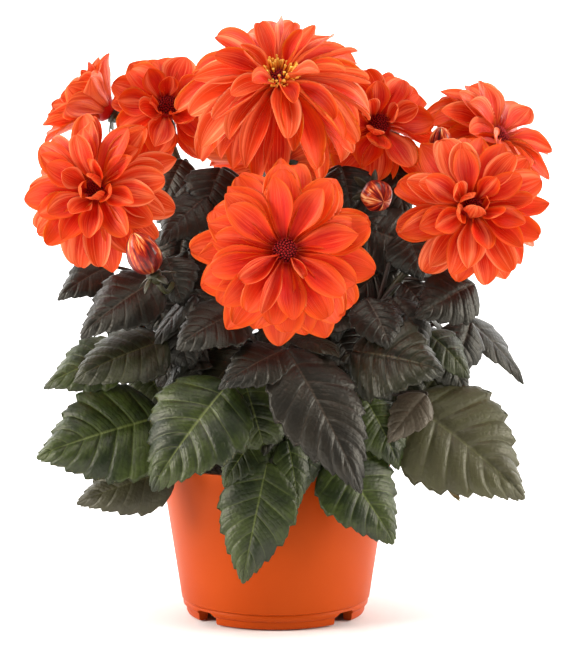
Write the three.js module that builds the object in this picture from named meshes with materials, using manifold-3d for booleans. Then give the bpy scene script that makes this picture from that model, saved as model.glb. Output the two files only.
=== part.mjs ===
// A potted dahlia: a plastic nursery pot of soil, nine leafy stems, nine red-orange blooms and three buds.
// Millimetres, +Z up, the front towards -Y, the origin under the middle of the pot's base.
import * as THREE from "three";
import { mergeVertices } from "three/addons/utils/BufferGeometryUtils.js";
import Module from "manifold-3d";

const wasm = await Module();
wasm.setup();

const DEG = Math.PI / 180;
const UP = new THREE.Vector3(0, 0, 1);

// The gap between two pieces that rest on each other
const SEAT_GAP = 0.3;

// The pot: a tapered wall on a foot that is set in, with a raised channel and a middle pad underneath
const POT_SIDES = 32;
const POT_HEIGHT = 94;
const POT_RIM_RADIUS = 69.8;
const POT_WALL = 1.8;
const POT_FLOOR = 8;
const FOOT_HEIGHT = 10;
const FOOT_TOP_RADIUS = 56;
const FOOT_SOLE_RADIUS = 52;
const FOOT_ROUNDING = 3.5;
const FOOT_INNER_RADIUS = 47;
const FOOT_GROOVE = 0.6;
const WALL_START_RADIUS = 56.9;
const PAD_RADIUS = 20;
const CHANNEL_HEIGHT = 4.5;
const CHANNEL_SLOPE = 1;
const INNER_CORNER = 3;
const NOTCH_ANGLES = [49, 131, -131, -49];
const NOTCH_WIDTH = 16;
const NOTCH_DEPTH = 14;
const NOTCH_HEIGHT = 6.5;
const DRAIN_RADIUS = 4.5;
const DRAIN_SIDES = 10;
const DRAIN_RING_RADIUS = 37;

// The soil, with a plain hole for each stem
const SOIL_EDGE_HEIGHT = 86;
const SOIL_MIDDLE_HEIGHT = 88;
const SOIL_FLAT_RADIUS = 42;
const STEM_HOLE_DEPTH = 20;
const STEM_HOLE_RADIUS = 3.6;
const STEM_HOLE_SIDES = 6;
const STEM_RADIUS = 2.7;
const STEM_SIDES = 5;
const SHOOT_RADIUS = 1.7;

// The green cup behind each bloom, and the bloom's core above it
const CALYX_HEIGHT = 7;
const CALYX_BAND = 1.5;
const SEPAL_COUNT = 5;
const SEPAL_FALL = 0.6;
const CALYX_RADIUS = 5.5;
const SEPAL_LENGTH = 9;
const CORE_BACK = -8;
const CORE_BACK_RADIUS = 4.5;
const CORE_SHOULDER = -4;
const CORE_RADIUS = 8.5;
const CORE_TOP = 1.5;
const CORE_SIDES = 10;
const DISC_SINK = 3;
const DISC_RISE = 1;
const DISC_CROWN = 3;
const DISC_SIDES = 8;

// Blades: how far the ridge along the middle stands above the line between the edges, as a share of the
// half width, and at least
const ridgeOf = (half) => Math.max(1, 0.09 * half);
const STALK_HALF_WIDTH = 1.4;
const STALK_RIDGE = 2.2;

const paint = (color, roughness) => new THREE.MeshStandardMaterial({ color, roughness, metalness: 0 });
const POT_PLASTIC = paint(0xe8692c, 0.45);
const SOIL_BROWN = paint(0x4a3424, 0.95);
const LEAF_GREEN = paint(0x38402c, 0.55);
const PETAL_ORANGE = paint(0xe8431c, 0.6);
const DISC_MAROON = paint(0x4a0d14, 0.7);
const FLORET_YELLOW = paint(0xf0a020, 0.6);
const BUD_STRIPED = paint(0x9c3a22, 0.4);

// A direction from its azimuth, from the front towards +X, and its height above the horizon, in degrees
const towards = (azimuth, elevation) =>
  new THREE.Vector3(
    Math.sin(azimuth * DEG) * Math.cos(elevation * DEG),
    -Math.cos(azimuth * DEG) * Math.cos(elevation * DEG),
    Math.sin(elevation * DEG),
  );

const toVector = ([x, y, z]) => new THREE.Vector3(x, y, z);

// A number from 0 to 1 that depends only on its two seeds
function chance(a, b) {
  const wave = Math.sin(a * 12.9898 + b * 78.233) * 43758.5453;
  return wave - Math.floor(wave);
}

// Solids

function toSolid(geometry) {
  const bare = new THREE.BufferGeometry().setAttribute("position", geometry.getAttribute("position"));
  bare.setIndex(geometry.index);
  const merged = mergeVertices(bare, 1e-4);
  const mesh = { numProp: 3, vertProperties: merged.attributes.position.array };
  return new wasm.Manifold(new wasm.Mesh({ ...mesh, triVerts: new Uint32Array(merged.index.array) }));
}

function toGeometry(solid) {
  const mesh = solid.getMesh();
  const geometry = new THREE.BufferGeometry();
  geometry.setAttribute("position", new THREE.BufferAttribute(mesh.vertProperties, 3));
  geometry.setIndex(new THREE.BufferAttribute(mesh.triVerts, 1));
  geometry.computeVertexNormals();
  return geometry;
}

const join = (geometries) => geometries.map(toSolid).reduce((whole, piece) => whole.add(piece));

// The largest body of a solid, so that a scrap cut loose is dropped
const largestBody = (solid) =>
  solid.decompose().reduce((best, body) => (body.volume() > best.volume() ? body : best));

// A thin blade lofted through stations of three points each, left edge, middle ridge and right edge, and
// closed in a short end edge. The two faces meet in the edges and are split into triangles alike.
function bladeGeometry(stations, endLeft, endRight) {
  const points = [...stations.flat(), endLeft, endRight];
  const faces = [0, 2, 1];
  for (let left = 0; left < 3 * (stations.length - 1); left += 3) {
    const [ridge, right] = [left + 1, left + 2];
    faces.push(left, ridge, ridge + 3, left, ridge + 3, left + 3);
    faces.push(ridge, right, ridge + 3, right, right + 3, ridge + 3);
    faces.push(right, left, left + 3, right, left + 3, right + 3);
  }
  const left = 3 * (stations.length - 1);
  const [ridge, right, tipLeft, tipRight] = [left + 1, left + 2, left + 3, left + 4];
  faces.push(left, ridge, tipLeft, ridge, tipRight, tipLeft, ridge, right, tipRight);
  faces.push(right, left, tipLeft, right, tipLeft, tipRight);
  return new THREE.BufferGeometry().setFromPoints(points).setIndex(faces);
}

// One station of a blade: its middle, the direction to its right, the direction its ridge stands up in,
// its half width and the height of the ridge
function station(middle, right, normal, half, ridge = ridgeOf(half)) {
  const edge = (side) => middle.clone().addScaledVector(right, side * half);
  return [edge(-1), middle.clone().addScaledVector(normal, ridge), edge(1)];
}

// A turned body whose profile lists radius and height, from the axis round to the axis
function turned(profile, sides) {
  const points = profile.map(([radius, height]) => new THREE.Vector2(radius, height));
  return new THREE.LatheGeometry(points, sides).rotateX(90 * DEG);
}

const uprightCylinder = (radius, height, sides) =>
  new THREE.CylinderGeometry(radius, radius, height, sides).rotateX(90 * DEG);

// A round rod along a curve
function rod(curve, radius, sides, steps) {
  const corners = [];
  for (let i = 0; i < sides; i++) {
    const angle = (2 * Math.PI * i) / sides;
    corners.push(new THREE.Vector2(radius * Math.cos(angle), radius * Math.sin(angle)));
  }
  return new THREE.ExtrudeGeometry(new THREE.Shape(corners), { extrudePath: curve, steps });
}

// Pot and soil

const outerRadius = (height) => {
  const taper = (POT_RIM_RADIUS - WALL_START_RADIUS) / (POT_HEIGHT - FOOT_HEIGHT);
  return WALL_START_RADIUS + (height - FOOT_HEIGHT) * taper;
};
const innerRadius = (height) => outerRadius(height) - POT_WALL;

function potSolid() {
  const sole = [
    [FOOT_INNER_RADIUS, CHANNEL_HEIGHT],
    [FOOT_INNER_RADIUS + CHANNEL_SLOPE, 0],
    [FOOT_SOLE_RADIUS, 0],
    [FOOT_SOLE_RADIUS + Math.SQRT1_2 * FOOT_ROUNDING, (1 - Math.SQRT1_2) * FOOT_ROUNDING],
    [FOOT_SOLE_RADIUS + FOOT_ROUNDING, FOOT_ROUNDING],
    [FOOT_TOP_RADIUS, FOOT_HEIGHT - FOOT_GROOVE],
  ];
  const body = turned(
    [
      [0, 0],
      [PAD_RADIUS, 0],
      [PAD_RADIUS + CHANNEL_SLOPE, CHANNEL_HEIGHT],
      ...sole,
      [WALL_START_RADIUS, FOOT_HEIGHT],
      [POT_RIM_RADIUS, POT_HEIGHT],
      [POT_RIM_RADIUS - POT_WALL, POT_HEIGHT],
      [innerRadius(POT_FLOOR + INNER_CORNER), POT_FLOOR + INNER_CORNER],
      [innerRadius(POT_FLOOR) - INNER_CORNER, POT_FLOOR],
      [0, POT_FLOOR],
    ],
    POT_SIDES,
  );
  let pot = toSolid(body);
  for (const angle of NOTCH_ANGLES) {
    const outwards = towards(angle, 0);
    const notch = new THREE.BoxGeometry(NOTCH_WIDTH, NOTCH_DEPTH, 2 * NOTCH_HEIGHT);
    notch.rotateZ(angle * DEG);
    notch.translate(outwards.x * FOOT_SOLE_RADIUS, outwards.y * FOOT_SOLE_RADIUS, 0);
    const drain = uprightCylinder(DRAIN_RADIUS, POT_FLOOR, DRAIN_SIDES);
    drain.translate(outwards.x * DRAIN_RING_RADIUS, outwards.y * DRAIN_RING_RADIUS, POT_FLOOR);
    pot = pot.subtract(toSolid(notch)).subtract(toSolid(drain));
  }
  return pot;
}

function soilSolid(stems) {
  const body = turned(
    [
      [0, POT_FLOOR + SEAT_GAP],
      [innerRadius(POT_FLOOR) - INNER_CORNER - SEAT_GAP, POT_FLOOR + SEAT_GAP],
      [innerRadius(POT_FLOOR + INNER_CORNER) - SEAT_GAP, POT_FLOOR + INNER_CORNER + SEAT_GAP],
      [innerRadius(SOIL_EDGE_HEIGHT) - SEAT_GAP, SOIL_EDGE_HEIGHT],
      [SOIL_FLAT_RADIUS, SOIL_MIDDLE_HEIGHT],
      [0, SOIL_MIDDLE_HEIGHT],
    ],
    POT_SIDES,
  );
  let soil = toSolid(body);
  for (const { foot } of Object.values(stems)) {
    const hole = uprightCylinder(STEM_HOLE_RADIUS, 2 * STEM_HOLE_DEPTH, STEM_HOLE_SIDES);
    hole.translate(foot[0], foot[1], SOIL_MIDDLE_HEIGHT);
    soil = soil.subtract(toSolid(hole));
  }
  return soil;
}

// Blooms: each petal follows an arc that leaves the core at an angle above the plane of the bloom and
// bends to another. It is widest past its middle and ends in a blunt edge.
const PETAL_STATIONS = [0, 0.4, 0.8];
const PETAL_WIDEST = 0.6;
const PETAL_ROOT_WIDTH = 0.12;
const PETAL_END_WIDTH = 0.4;
const PETAL_ROOT = 6.5;
const PETAL_ROLL = 16;

// Each ring is turned by this share of a petal's place against the one behind it
const RING_STAGGER = 0.37;

function petalWidth(u) {
  if (u < PETAL_WIDEST) return PETAL_ROOT_WIDTH + ((1 - PETAL_ROOT_WIDTH) * u) / PETAL_WIDEST;
  const s = (u - PETAL_WIDEST) / (1 - PETAL_WIDEST);
  return Math.sqrt(1 - s * s);
}

function petalGeometry({ turn, length, half, from, to, rise, roll }) {
  const outwards = new THREE.Vector3(Math.cos(turn), Math.sin(turn), 0);
  const sideways = new THREE.Vector3(Math.sin(turn), -Math.cos(turn), 0);
  const bend = to - from;
  const middle = (u) => {
    const angle = from + bend * u;
    const out = PETAL_ROOT + (length * (Math.sin(angle) - Math.sin(from))) / bend;
    const high = rise - (length * (Math.cos(angle) - Math.cos(from))) / bend;
    return new THREE.Vector3(0, 0, high).addScaledVector(outwards, out);
  };
  const stations = PETAL_STATIONS.map((u) => {
    const angle = from + bend * u;
    const flat = new THREE.Vector3(0, 0, Math.cos(angle)).addScaledVector(outwards, -Math.sin(angle));
    const right = sideways.clone().multiplyScalar(Math.cos(roll)).addScaledVector(flat, Math.sin(roll));
    const normal = flat.multiplyScalar(Math.cos(roll)).addScaledVector(sideways, -Math.sin(roll));
    return station(middle(u), right, normal, half * petalWidth(u));
  });
  const end = (side) => middle(1).addScaledVector(sideways, side * half * PETAL_END_WIDTH);
  return bladeGeometry(stations, end(-1), end(1));
}

// Every petal of a bloom, ring by ring, each a little off its regular place
function petalsOf({ seed, rings }) {
  return rings.flatMap((ring, level) =>
    Array.from({ length: ring.count }, (_, i) => {
      const sway = (k) => chance(seed * 10 + level, i * 7 + k) - 0.5;
      const turn = (2 * Math.PI * (i + RING_STAGGER * level + 0.2 * sway(1))) / ring.count + seed;
      return {
        turn,
        length: ring.length * (1 + 0.12 * sway(2)),
        half: ring.half,
        from: (ring.from + 5 * sway(3)) * DEG,
        to: (ring.to + 12 * sway(4)) * DEG,
        rise: ring.rise,
        roll: (PETAL_ROLL + 6 * sway(5)) * DEG,
      };
    }),
  );
}

// The disc's half section, or with some growth the hollow that it sits in
const discProfile = (radius, grow) => [
  [0, CORE_TOP - DISC_SINK - grow],
  [radius + grow, CORE_TOP - DISC_SINK - grow],
  [radius + grow, CORE_TOP + DISC_RISE + grow],
  [0, CORE_TOP + DISC_CROWN + grow],
];

function bloomSolid(bloom) {
  const core = turned(
    [
      [0, CORE_BACK],
      [CORE_BACK_RADIUS, CORE_BACK],
      [CORE_RADIUS, CORE_SHOULDER],
      [CORE_RADIUS, CORE_TOP],
      [0, CORE_TOP],
    ],
    CORE_SIDES,
  );
  const petals = join([core, ...petalsOf(bloom).map(petalGeometry)]);
  return largestBody(petals.subtract(toSolid(turned(discProfile(bloom.disc, SEAT_GAP), DISC_SIDES))));
}

// Rings of petals, from the back of a bloom to its middle. The angles are where a petal leaves the core and
// where it ends, above the plane of the bloom.
const FLAT_RINGS = [
  { count: 11, length: 47, half: 11, from: 2, to: -30, rise: -4 },
  { count: 8, length: 41, half: 11, from: 18, to: -6, rise: -1.5 },
  { count: 5, length: 29, half: 9, from: 36, to: 12, rise: 0 },
];
const DOME_RINGS = [
  { count: 12, length: 58, half: 11.5, from: -8, to: -76, rise: -4 },
  { count: 10, length: 56, half: 11.5, from: 10, to: -52, rise: -2 },
  { count: 8, length: 45, half: 10, from: 28, to: -24, rise: -0.5 },
  { count: 4, length: 26, half: 8, from: 62, to: 24, rise: 0 },
];
const FULL_RINGS = [
  { count: 10, length: 41, half: 10.5, from: 0, to: -36, rise: -4 },
  { count: 8, length: 37, half: 10, from: 18, to: -8, rise: -2 },
  { count: 6, length: 28, half: 8.5, from: 40, to: 16, rise: -0.5 },
  { count: 3, length: 17, half: 6.5, from: 72, to: 118, rise: 0 },
];
const SMALL_RINGS = [
  { count: 8, length: 29, half: 9.5, from: 2, to: -30, rise: -4 },
  { count: 6, length: 25, half: 8.5, from: 28, to: 4, rise: -1.5 },
  { count: 3, length: 16, half: 6, from: 62, to: 84, rise: 0 },
];
const ROUND_RINGS = [
  { count: 9, length: 39, half: 10, from: -6, to: -62, rise: -4 },
  { count: 7, length: 35, half: 9.5, from: 16, to: -26, rise: -2 },
  { count: 5, length: 26, half: 8.5, from: 40, to: 10, rise: -0.5 },
];
const CUP_RINGS = [
  { count: 7, length: 37, half: 10, from: 58, to: 30, rise: -4 },
  { count: 5, length: 33, half: 9, from: 78, to: 60, rise: -1 },
];

// The blooms: the middle of each head and the way it faces
const BLOOMS = {
  top: { seed: 1, at: [2, -24, 322], azimuth: 0, elevation: 50, disc: 7, rings: DOME_RINGS },
  front: { seed: 2, at: [6, -84, 227], azimuth: 0, elevation: 10, disc: 6.5, rings: FLAT_RINGS },
  left: { seed: 3, at: [-104, -45, 259], azimuth: -15, elevation: 12, disc: 5, rings: FULL_RINGS },
  right: { seed: 4, at: [114, -45, 249], azimuth: 10, elevation: 18, disc: 5, rings: FULL_RINGS },
  upper_left: { seed: 5, at: [-107, 40, 304], azimuth: -84, elevation: 32, disc: 5, rings: CUP_RINGS },
  rear_left: { seed: 6, at: [-65, 21, 305], azimuth: 8, elevation: 30, disc: 6, rings: SMALL_RINGS },
  rear_right: { seed: 7, at: [62, 15, 294], azimuth: 5, elevation: 25, disc: 6, rings: SMALL_RINGS },
  far_right: { seed: 8, at: [135, 23, 287], azimuth: 54, elevation: 38, disc: 6, rings: ROUND_RINGS },
  back: { seed: 9, at: [2, 84, 268], azimuth: 180, elevation: 25, disc: 5, rings: FULL_RINGS },
};

// The ring of yellow florets on the top bloom's disc
const FLORET_COUNT = 10;
const FLORET_HEIGHT = 6;
const FLORET_RADIUS = 1.3;
const FLORET_LEAN = 12;
const FLORET_BAND_WIDTH = 2.4;
const FLORET_BAND_HEIGHT = 1.2;

// Stems: where each stands in the soil, with its bloom, its leaves and the shoots of its buds
const STALK_TOP = SOIL_MIDDLE_HEIGHT + 4;
const STEM_STEPS = 10;
const STEM_LOW_PULL = 0.45;
const STEM_HIGH_PULL = 0.18;
const SHOOT_SIDES = 5;
const SHOOT_STEPS = 6;
const SHOOT_PULL = 0.4;
const STEMS = {
  top: { foot: [0, 2], leaves: [] },
  front: { foot: [4, -30], leaves: [] },
  left: { foot: [-26, -14], leaves: [] },
  right: { foot: [26, -14], leaves: [] },
  upper_left: { foot: [-30, 12], leaves: [] },
  rear_left: { foot: [-12, 20], leaves: [] },
  rear_right: { foot: [13, 20], leaves: [] },
  far_right: { foot: [30, 12], leaves: [] },
  back: { foot: [0, 38], leaves: [] },
};

// Leaves that show from the front: the height at which the stalk leaves its stem, the base and tip of the
// blade, half its width, the azimuth and elevation that its upper face looks at, and the arch of its midrib
const seen = (stem, at, base, tip, half, azimuth, elevation, arch = 5) =>
  STEMS[stem].leaves.push({ at, base: toVector(base), tip: toVector(tip), half, azimuth, elevation, arch });

seen("left", 196, [-97, -18, 211], [-126, -30, 194], 13, -20, 30);
seen("left", 172, [-67, -46, 206], [-110, -66, 176], 21, -22, 35);
seen("left", 134, [-85, -24, 161], [-134, -36, 142], 20, -30, 35);
seen("left", 148, [-63, -44, 169], [-114, -64, 150], 23, -18, 42);
seen("left", 106, [-64, -46, 125], [-136, -64, 105], 32, -10, 32);
seen("left", 97, [-59, -46, 94], [-114, -52, 76], 19, -8, 25);
seen("left", 140, [-46, -40, 165], [-70, -52, 126], 8, -70, 15);
seen("left", 160, [-46, -36, 196], [-72, -48, 164], 10, -50, 30);
seen("front", 128, [-25, -74, 149], [-68, -98, 93], 30, -14, 30, 8);
seen("front", 120, [-18, -58, 149], [-4, -68, 102], 20, 0, 25, 7);
seen("front", 178, [-17, -60, 189], [-54, -80, 171], 21, -12, 46);
seen("front", 162, [6, -74, 168], [-30, -94, 150], 15, -5, 42);
seen("front", 150, [6, -74, 169], [48, -104, 93], 25, 12, 28, 9);
seen("front", 97, [-4, -74, 104], [-18, -84, 37], 22, -6, 12);
seen("front", 108, [7, -68, 116], [13, -78, 80], 10, 10, 14);
seen("right", 97, [33, -64, 106], [67, -76, 58], 24, 20, 20);
seen("right", 150, [45, -54, 164], [95, -74, 156], 28, 10, 36);
seen("right", 184, [53, -42, 194], [66, -62, 168], 16, 15, 30);
seen("right", 178, [68, -36, 194], [88, -48, 166], 14, 25, 30);
seen("right", 112, [76, -36, 133], [144, -54, 80], 35, 20, 22, 8);
seen("right", 204, [116, -36, 202], [83, -54, 186], 18, 12, 30);
seen("right", 128, [88, -50, 139], [67, -62, 115], 12, 0, 35);
seen("right", 120, [51, -50, 138], [71, -60, 99], 17, 20, 22);
seen("right", 140, [89, -32, 173], [112, -38, 149], 13, 25, 30);
seen("far_right", 160, [113, 4, 178], [148, 2, 140], 12, 50, 25);
seen("far_right", 150, [115, -14, 178], [102, -28, 146], 14, 25, 22);
seen("rear_right", 214, [54, -2, 232], [88, 2, 215], 22, 5, 32);
seen("rear_right", 246, [46, 4, 259], [37, -2, 236], 14, -10, 20);
seen("rear_right", 176, [72, 2, 212], [43, -6, 190], 18, 10, 30);
seen("rear_left", 218, [-40, -6, 251], [-67, -16, 225], 15, -25, 30);
seen("rear_left", 244, [-46, 6, 262], [-41, 1, 226], 16, -5, 15);
seen("rear_left", 190, [-52, -1, 219], [-48, -3, 188], 18, -10, 20);
seen("rear_left", 176, [-37, 14, 214], [-65, 10, 187], 20, -15, 30);
seen("top", 196, [27, -18, 198], [36, -30, 170], 18, 5, 30);
seen("top", 160, [-8, -20, 162], [-25, -40, 152], 18, -10, 40);
seen("top", 132, [-18, -32, 162], [-42, -46, 136], 16, -12, 30);

// Leaves round the sides and the back, set by their azimuth and tier: the stalk's rise and reach, the
// blade's length and half width, and how steeply it hangs
const TIERS = [
  { at: 99, rise: 10, reach: 34, length: 72, half: 24, droop: 42 },
  { at: 112, rise: 14, reach: 34, length: 70, half: 24, droop: 20 },
  { at: 140, rise: 14, reach: 30, length: 60, half: 20, droop: 42 },
  { at: 158, rise: 16, reach: 28, length: 56, half: 20, droop: 24 },
  { at: 196, rise: 14, reach: 26, length: 46, half: 16, droop: 40 },
];
const SIDE_LEAVES = {
  far_right: [[76, 1], [110, 0], [104, 3], [136, 2], [118, 4]],
  back: [[148, 1], [180, 0], [212, 1], [164, 2], [198, 3], [180, 4]],
  upper_left: [[250, 0], [284, 1], [230, 2], [266, 3], [248, 4]],
  rear_right: [[150, 4]],
  rear_left: [[186, 4]],
};

// Buds, rounder below than above
const BUD_RINGS = 7;
const BUD_SIDES = 10;
const BUD_SWELL = 0.18;

// The height at which a bud's shoot leaves its stem, the middle of the bud, its radius and length, and the
// way it points
const BUDS = {
  left: {
    stem: "left",
    at: 200,
    middle: [-75, -75, 225],
    radius: 9,
    length: 26,
    azimuth: -60,
    elevation: 62,
  },
  middle: {
    stem: "rear_right",
    at: 232,
    middle: [60, -30, 254],
    radius: 8.5,
    length: 19,
    azimuth: 20,
    elevation: -15,
  },
  right: {
    stem: "far_right",
    at: 244,
    middle: [98, -10, 287],
    radius: 6,
    length: 14,
    azimuth: 0,
    elevation: 70,
  },
};

// The turn that lays a bloom's own axes on the plant, its face along the facing direction
function facingTurn(azimuth, elevation) {
  const face = towards(azimuth, elevation);
  const right = new THREE.Vector3().crossVectors(UP, face).normalize();
  const top = new THREE.Vector3().crossVectors(face, right);
  return new THREE.Matrix4().makeBasis(right, top, face);
}

// A stem rises straight out of the soil and then bends over to the back of its bloom
function stemBend(name) {
  const bloom = BLOOMS[name];
  const [x, y] = STEMS[name].foot;
  const face = towards(bloom.azimuth, bloom.elevation);
  const start = new THREE.Vector3(x, y, STALK_TOP);
  const end = toVector(bloom.at).addScaledVector(face, CORE_BACK - SEAT_GAP - CALYX_HEIGHT + 1);
  const span = start.distanceTo(end);
  const low = start.clone().addScaledVector(UP, STEM_LOW_PULL * span);
  const high = end.clone().addScaledVector(face, -STEM_HIGH_PULL * span);
  return new THREE.CubicBezierCurve3(start, low, high, end);
}

// The point of a stem at a given height, found by halving the interval
function stemPoint(bend, height) {
  let [low, high] = [0, 1];
  for (let i = 0; i < 30; i++) {
    const middle = (low + high) / 2;
    if (bend.getPoint(middle).z < height) low = middle;
    else high = middle;
  }
  return bend.getPoint(low);
}

function stemRod(name, bend) {
  const [x, y] = STEMS[name].foot;
  const foot = new THREE.Vector3(x, y, SOIL_MIDDLE_HEIGHT - STEM_HOLE_DEPTH + SEAT_GAP);
  const path = new THREE.CurvePath();
  path.add(new THREE.LineCurve3(foot, bend.v0));
  path.add(bend);
  return rod(path, STEM_RADIUS, STEM_SIDES, STEM_STEPS);
}

// The green cup under a bloom or a bud, in the bloom's own axes. Every other corner of its upper ring is
// drawn out into a sepal that points outwards and back.
function calyxGeometry(top, radius, sepal) {
  const profile = [
    [0, top - CALYX_HEIGHT],
    [0.5 * radius, top - CALYX_HEIGHT],
    [radius, top - CALYX_BAND],
    [radius, top],
    [0, top],
  ];
  const cup = turned(profile, 2 * SEPAL_COUNT);
  const points = cup.getAttribute("position");
  const stretch = (radius + sepal) / radius;
  for (let i = 2; i < points.count; i += 2 * profile.length) {
    const height = points.getZ(i) - SEPAL_FALL * sepal;
    points.setXYZ(i, stretch * points.getX(i), stretch * points.getY(i), height);
  }
  return cup;
}

// Leaf blades: a thin stalk bends into the blade's midrib. The blade is widest below its middle and its
// edge is cut into teeth that point forwards.
const LEAF_TOOTH_DEPTH = 0.1;
const LEAF_TOOTH_SWEEP = 0.22;
const teethOf = (half) => (half > 24 ? 6 : half > 20 ? 5 : 4);

const leafWidth = (u) => Math.sin(Math.PI * u ** 0.68) ** 0.8 * (1 - 0.35 * u ** 3);

function leafGeometry(root, { base, tip, half, azimuth, elevation, arch }) {
  const face = towards(azimuth, elevation);
  const chord = tip.clone().sub(base);
  const bulge = face.clone().projectOnPlane(chord.clone().normalize()).normalize();
  const crown = base.clone().lerp(tip, 0.5).addScaledVector(bulge, arch);
  const blade = new THREE.QuadraticBezierCurve3(base, crown, tip);
  const inwards = base.clone().sub(crown).normalize();
  const elbow = base.clone().addScaledVector(inwards, 0.45 * root.distanceTo(base));
  const stalk = new THREE.QuadraticBezierCurve3(root, elbow, base);
  const teeth = teethOf(half);
  const stations = [0, 0.4, 0.8].map((s) => {
    const along = stalk.getTangent(s);
    const normal = UP.clone().lerp(face, s).projectOnPlane(along).normalize();
    const right = new THREE.Vector3().crossVectors(along, normal);
    return station(stalk.getPoint(s), right, normal, STALK_HALF_WIDTH, STALK_RIDGE);
  });
  const bladeStation = (u, tooth) => {
    const along = blade.getTangent(u);
    const normal = face.clone().projectOnPlane(along).normalize();
    const right = new THREE.Vector3().crossVectors(along, normal);
    const width = Math.max(STALK_HALF_WIDTH, half * leafWidth(u));
    const toothed = width * (1 + tooth * LEAF_TOOTH_DEPTH);
    const points = station(blade.getPoint(u), right, normal, toothed, ridgeOf(width));
    const forward = tooth > 0 ? (LEAF_TOOTH_SWEEP * chord.length()) / teeth : 0;
    points[0].addScaledVector(along, forward);
    points[2].addScaledVector(along, forward);
    return points;
  };
  stations.push(bladeStation(0, 0));
  for (let i = 0; i < teeth; i++) {
    stations.push(bladeStation((i + 0.3) / (teeth + 0.2), -1));
    stations.push(bladeStation((i + 0.85) / (teeth + 0.2), 1));
  }
  const end = blade.getTangent(1).cross(face).normalize().multiplyScalar(0.4);
  return bladeGeometry(stations, tip.clone().sub(end), tip.clone().add(end));
}

// A leaf of the sides and the back, as a leaf with its base and tip worked out from its tier
function sideLeaf(root, azimuth, tier) {
  const outwards = towards(azimuth, 0);
  const base = root.clone().addScaledVector(outwards, tier.reach).addScaledVector(UP, tier.rise);
  const tip = base.clone().addScaledVector(towards(azimuth, -tier.droop), tier.length);
  return { base, tip, half: tier.half, azimuth, elevation: 90 - tier.droop, arch: 7 };
}

// A bud's own axes put its middle at the origin, pointing up
function budGeometry({ radius, length }) {
  const profile = Array.from({ length: BUD_RINGS + 1 }, (_, i) => {
    const angle = (Math.PI * i) / BUD_RINGS;
    const swell = 1 + BUD_SWELL * Math.cos(angle);
    return [radius * Math.sin(angle) * swell, (-length / 2) * Math.cos(angle)];
  });
  profile[0][0] = 0;
  profile[BUD_RINGS][0] = 0;
  return turned(profile, BUD_SIDES);
}

function shootGeometries(bud, bend) {
  const root = stemPoint(bend, bud.at);
  const facing = towards(bud.azimuth, bud.elevation);
  const cupTop = -bud.length / 2 - SEAT_GAP;
  const end = toVector(bud.middle).addScaledVector(facing, cupTop - CALYX_HEIGHT + 1);
  const span = root.distanceTo(end);
  const low = root.clone().addScaledVector(UP, SHOOT_PULL * span);
  const high = end.clone().addScaledVector(facing, -SHOOT_PULL * span);
  const curve = new THREE.CubicBezierCurve3(root, low, high, end);
  const shoot = rod(curve, SHOOT_RADIUS, SHOOT_SIDES, SHOOT_STEPS);
  const turn = facingTurn(bud.azimuth, bud.elevation).setPosition(...bud.middle);
  return [shoot, calyxGeometry(cupTop, 0.5 * bud.radius, 0.9 * bud.radius).applyMatrix4(turn)];
}

function leafyStemSolid(name) {
  const bend = stemBend(name);
  const bloom = BLOOMS[name];
  const turn = facingTurn(bloom.azimuth, bloom.elevation).setPosition(...bloom.at);
  const calyx = calyxGeometry(CORE_BACK - SEAT_GAP, CALYX_RADIUS, SEPAL_LENGTH).applyMatrix4(turn);
  const front = STEMS[name].leaves.map((leaf) => leafGeometry(stemPoint(bend, leaf.at), leaf));
  const side = (SIDE_LEAVES[name] ?? []).map(([azimuth, level]) => {
    const root = stemPoint(bend, TIERS[level].at);
    return leafGeometry(root, sideLeaf(root, azimuth, TIERS[level]));
  });
  const shoots = Object.values(BUDS).filter((bud) => bud.stem === name);
  const buds = shoots.flatMap((bud) => shootGeometries(bud, bend));
  return join([stemRod(name, bend), calyx, ...front, ...side, ...buds]);
}

// The florets stand in a ring, on a low band that seats on the disc
function floretSolid(radius) {
  const inner = radius - FLORET_BAND_WIDTH;
  const outerBase = CORE_TOP + DISC_RISE + SEAT_GAP;
  const innerBase = outerBase + ((DISC_CROWN - DISC_RISE) * FLORET_BAND_WIDTH) / radius;
  const top = innerBase + FLORET_BAND_HEIGHT;
  const band = turned(
    [
      [inner, innerBase],
      [radius, outerBase],
      [radius, top],
      [inner, top],
      [inner, innerBase],
    ],
    FLORET_COUNT,
  );
  const florets = Array.from({ length: FLORET_COUNT }, (_, i) => {
    const turn = (2 * Math.PI * (i + 0.5)) / FLORET_COUNT;
    const height = FLORET_HEIGHT * (0.8 + 0.4 * chance(i, 3));
    const spike = new THREE.ConeGeometry(FLORET_RADIUS, height, 3).rotateX(90 * DEG);
    spike.rotateX(-FLORET_LEAN * DEG).rotateZ(turn);
    const out = (inner + radius) / 2;
    return spike.translate(out * Math.cos(turn), out * Math.sin(turn), innerBase + 0.6 + 0.4 * height);
  });
  return join([band, ...florets]);
}

const plant = new THREE.Group();

function add(name, geometry, material) {
  const mesh = new THREE.Mesh(geometry, material);
  mesh.name = name;
  plant.add(mesh);
  return mesh;
}

function place(mesh, { azimuth, elevation }, middle) {
  mesh.quaternion.setFromRotationMatrix(facingTurn(azimuth, elevation));
  mesh.position.set(...middle);
}

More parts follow.
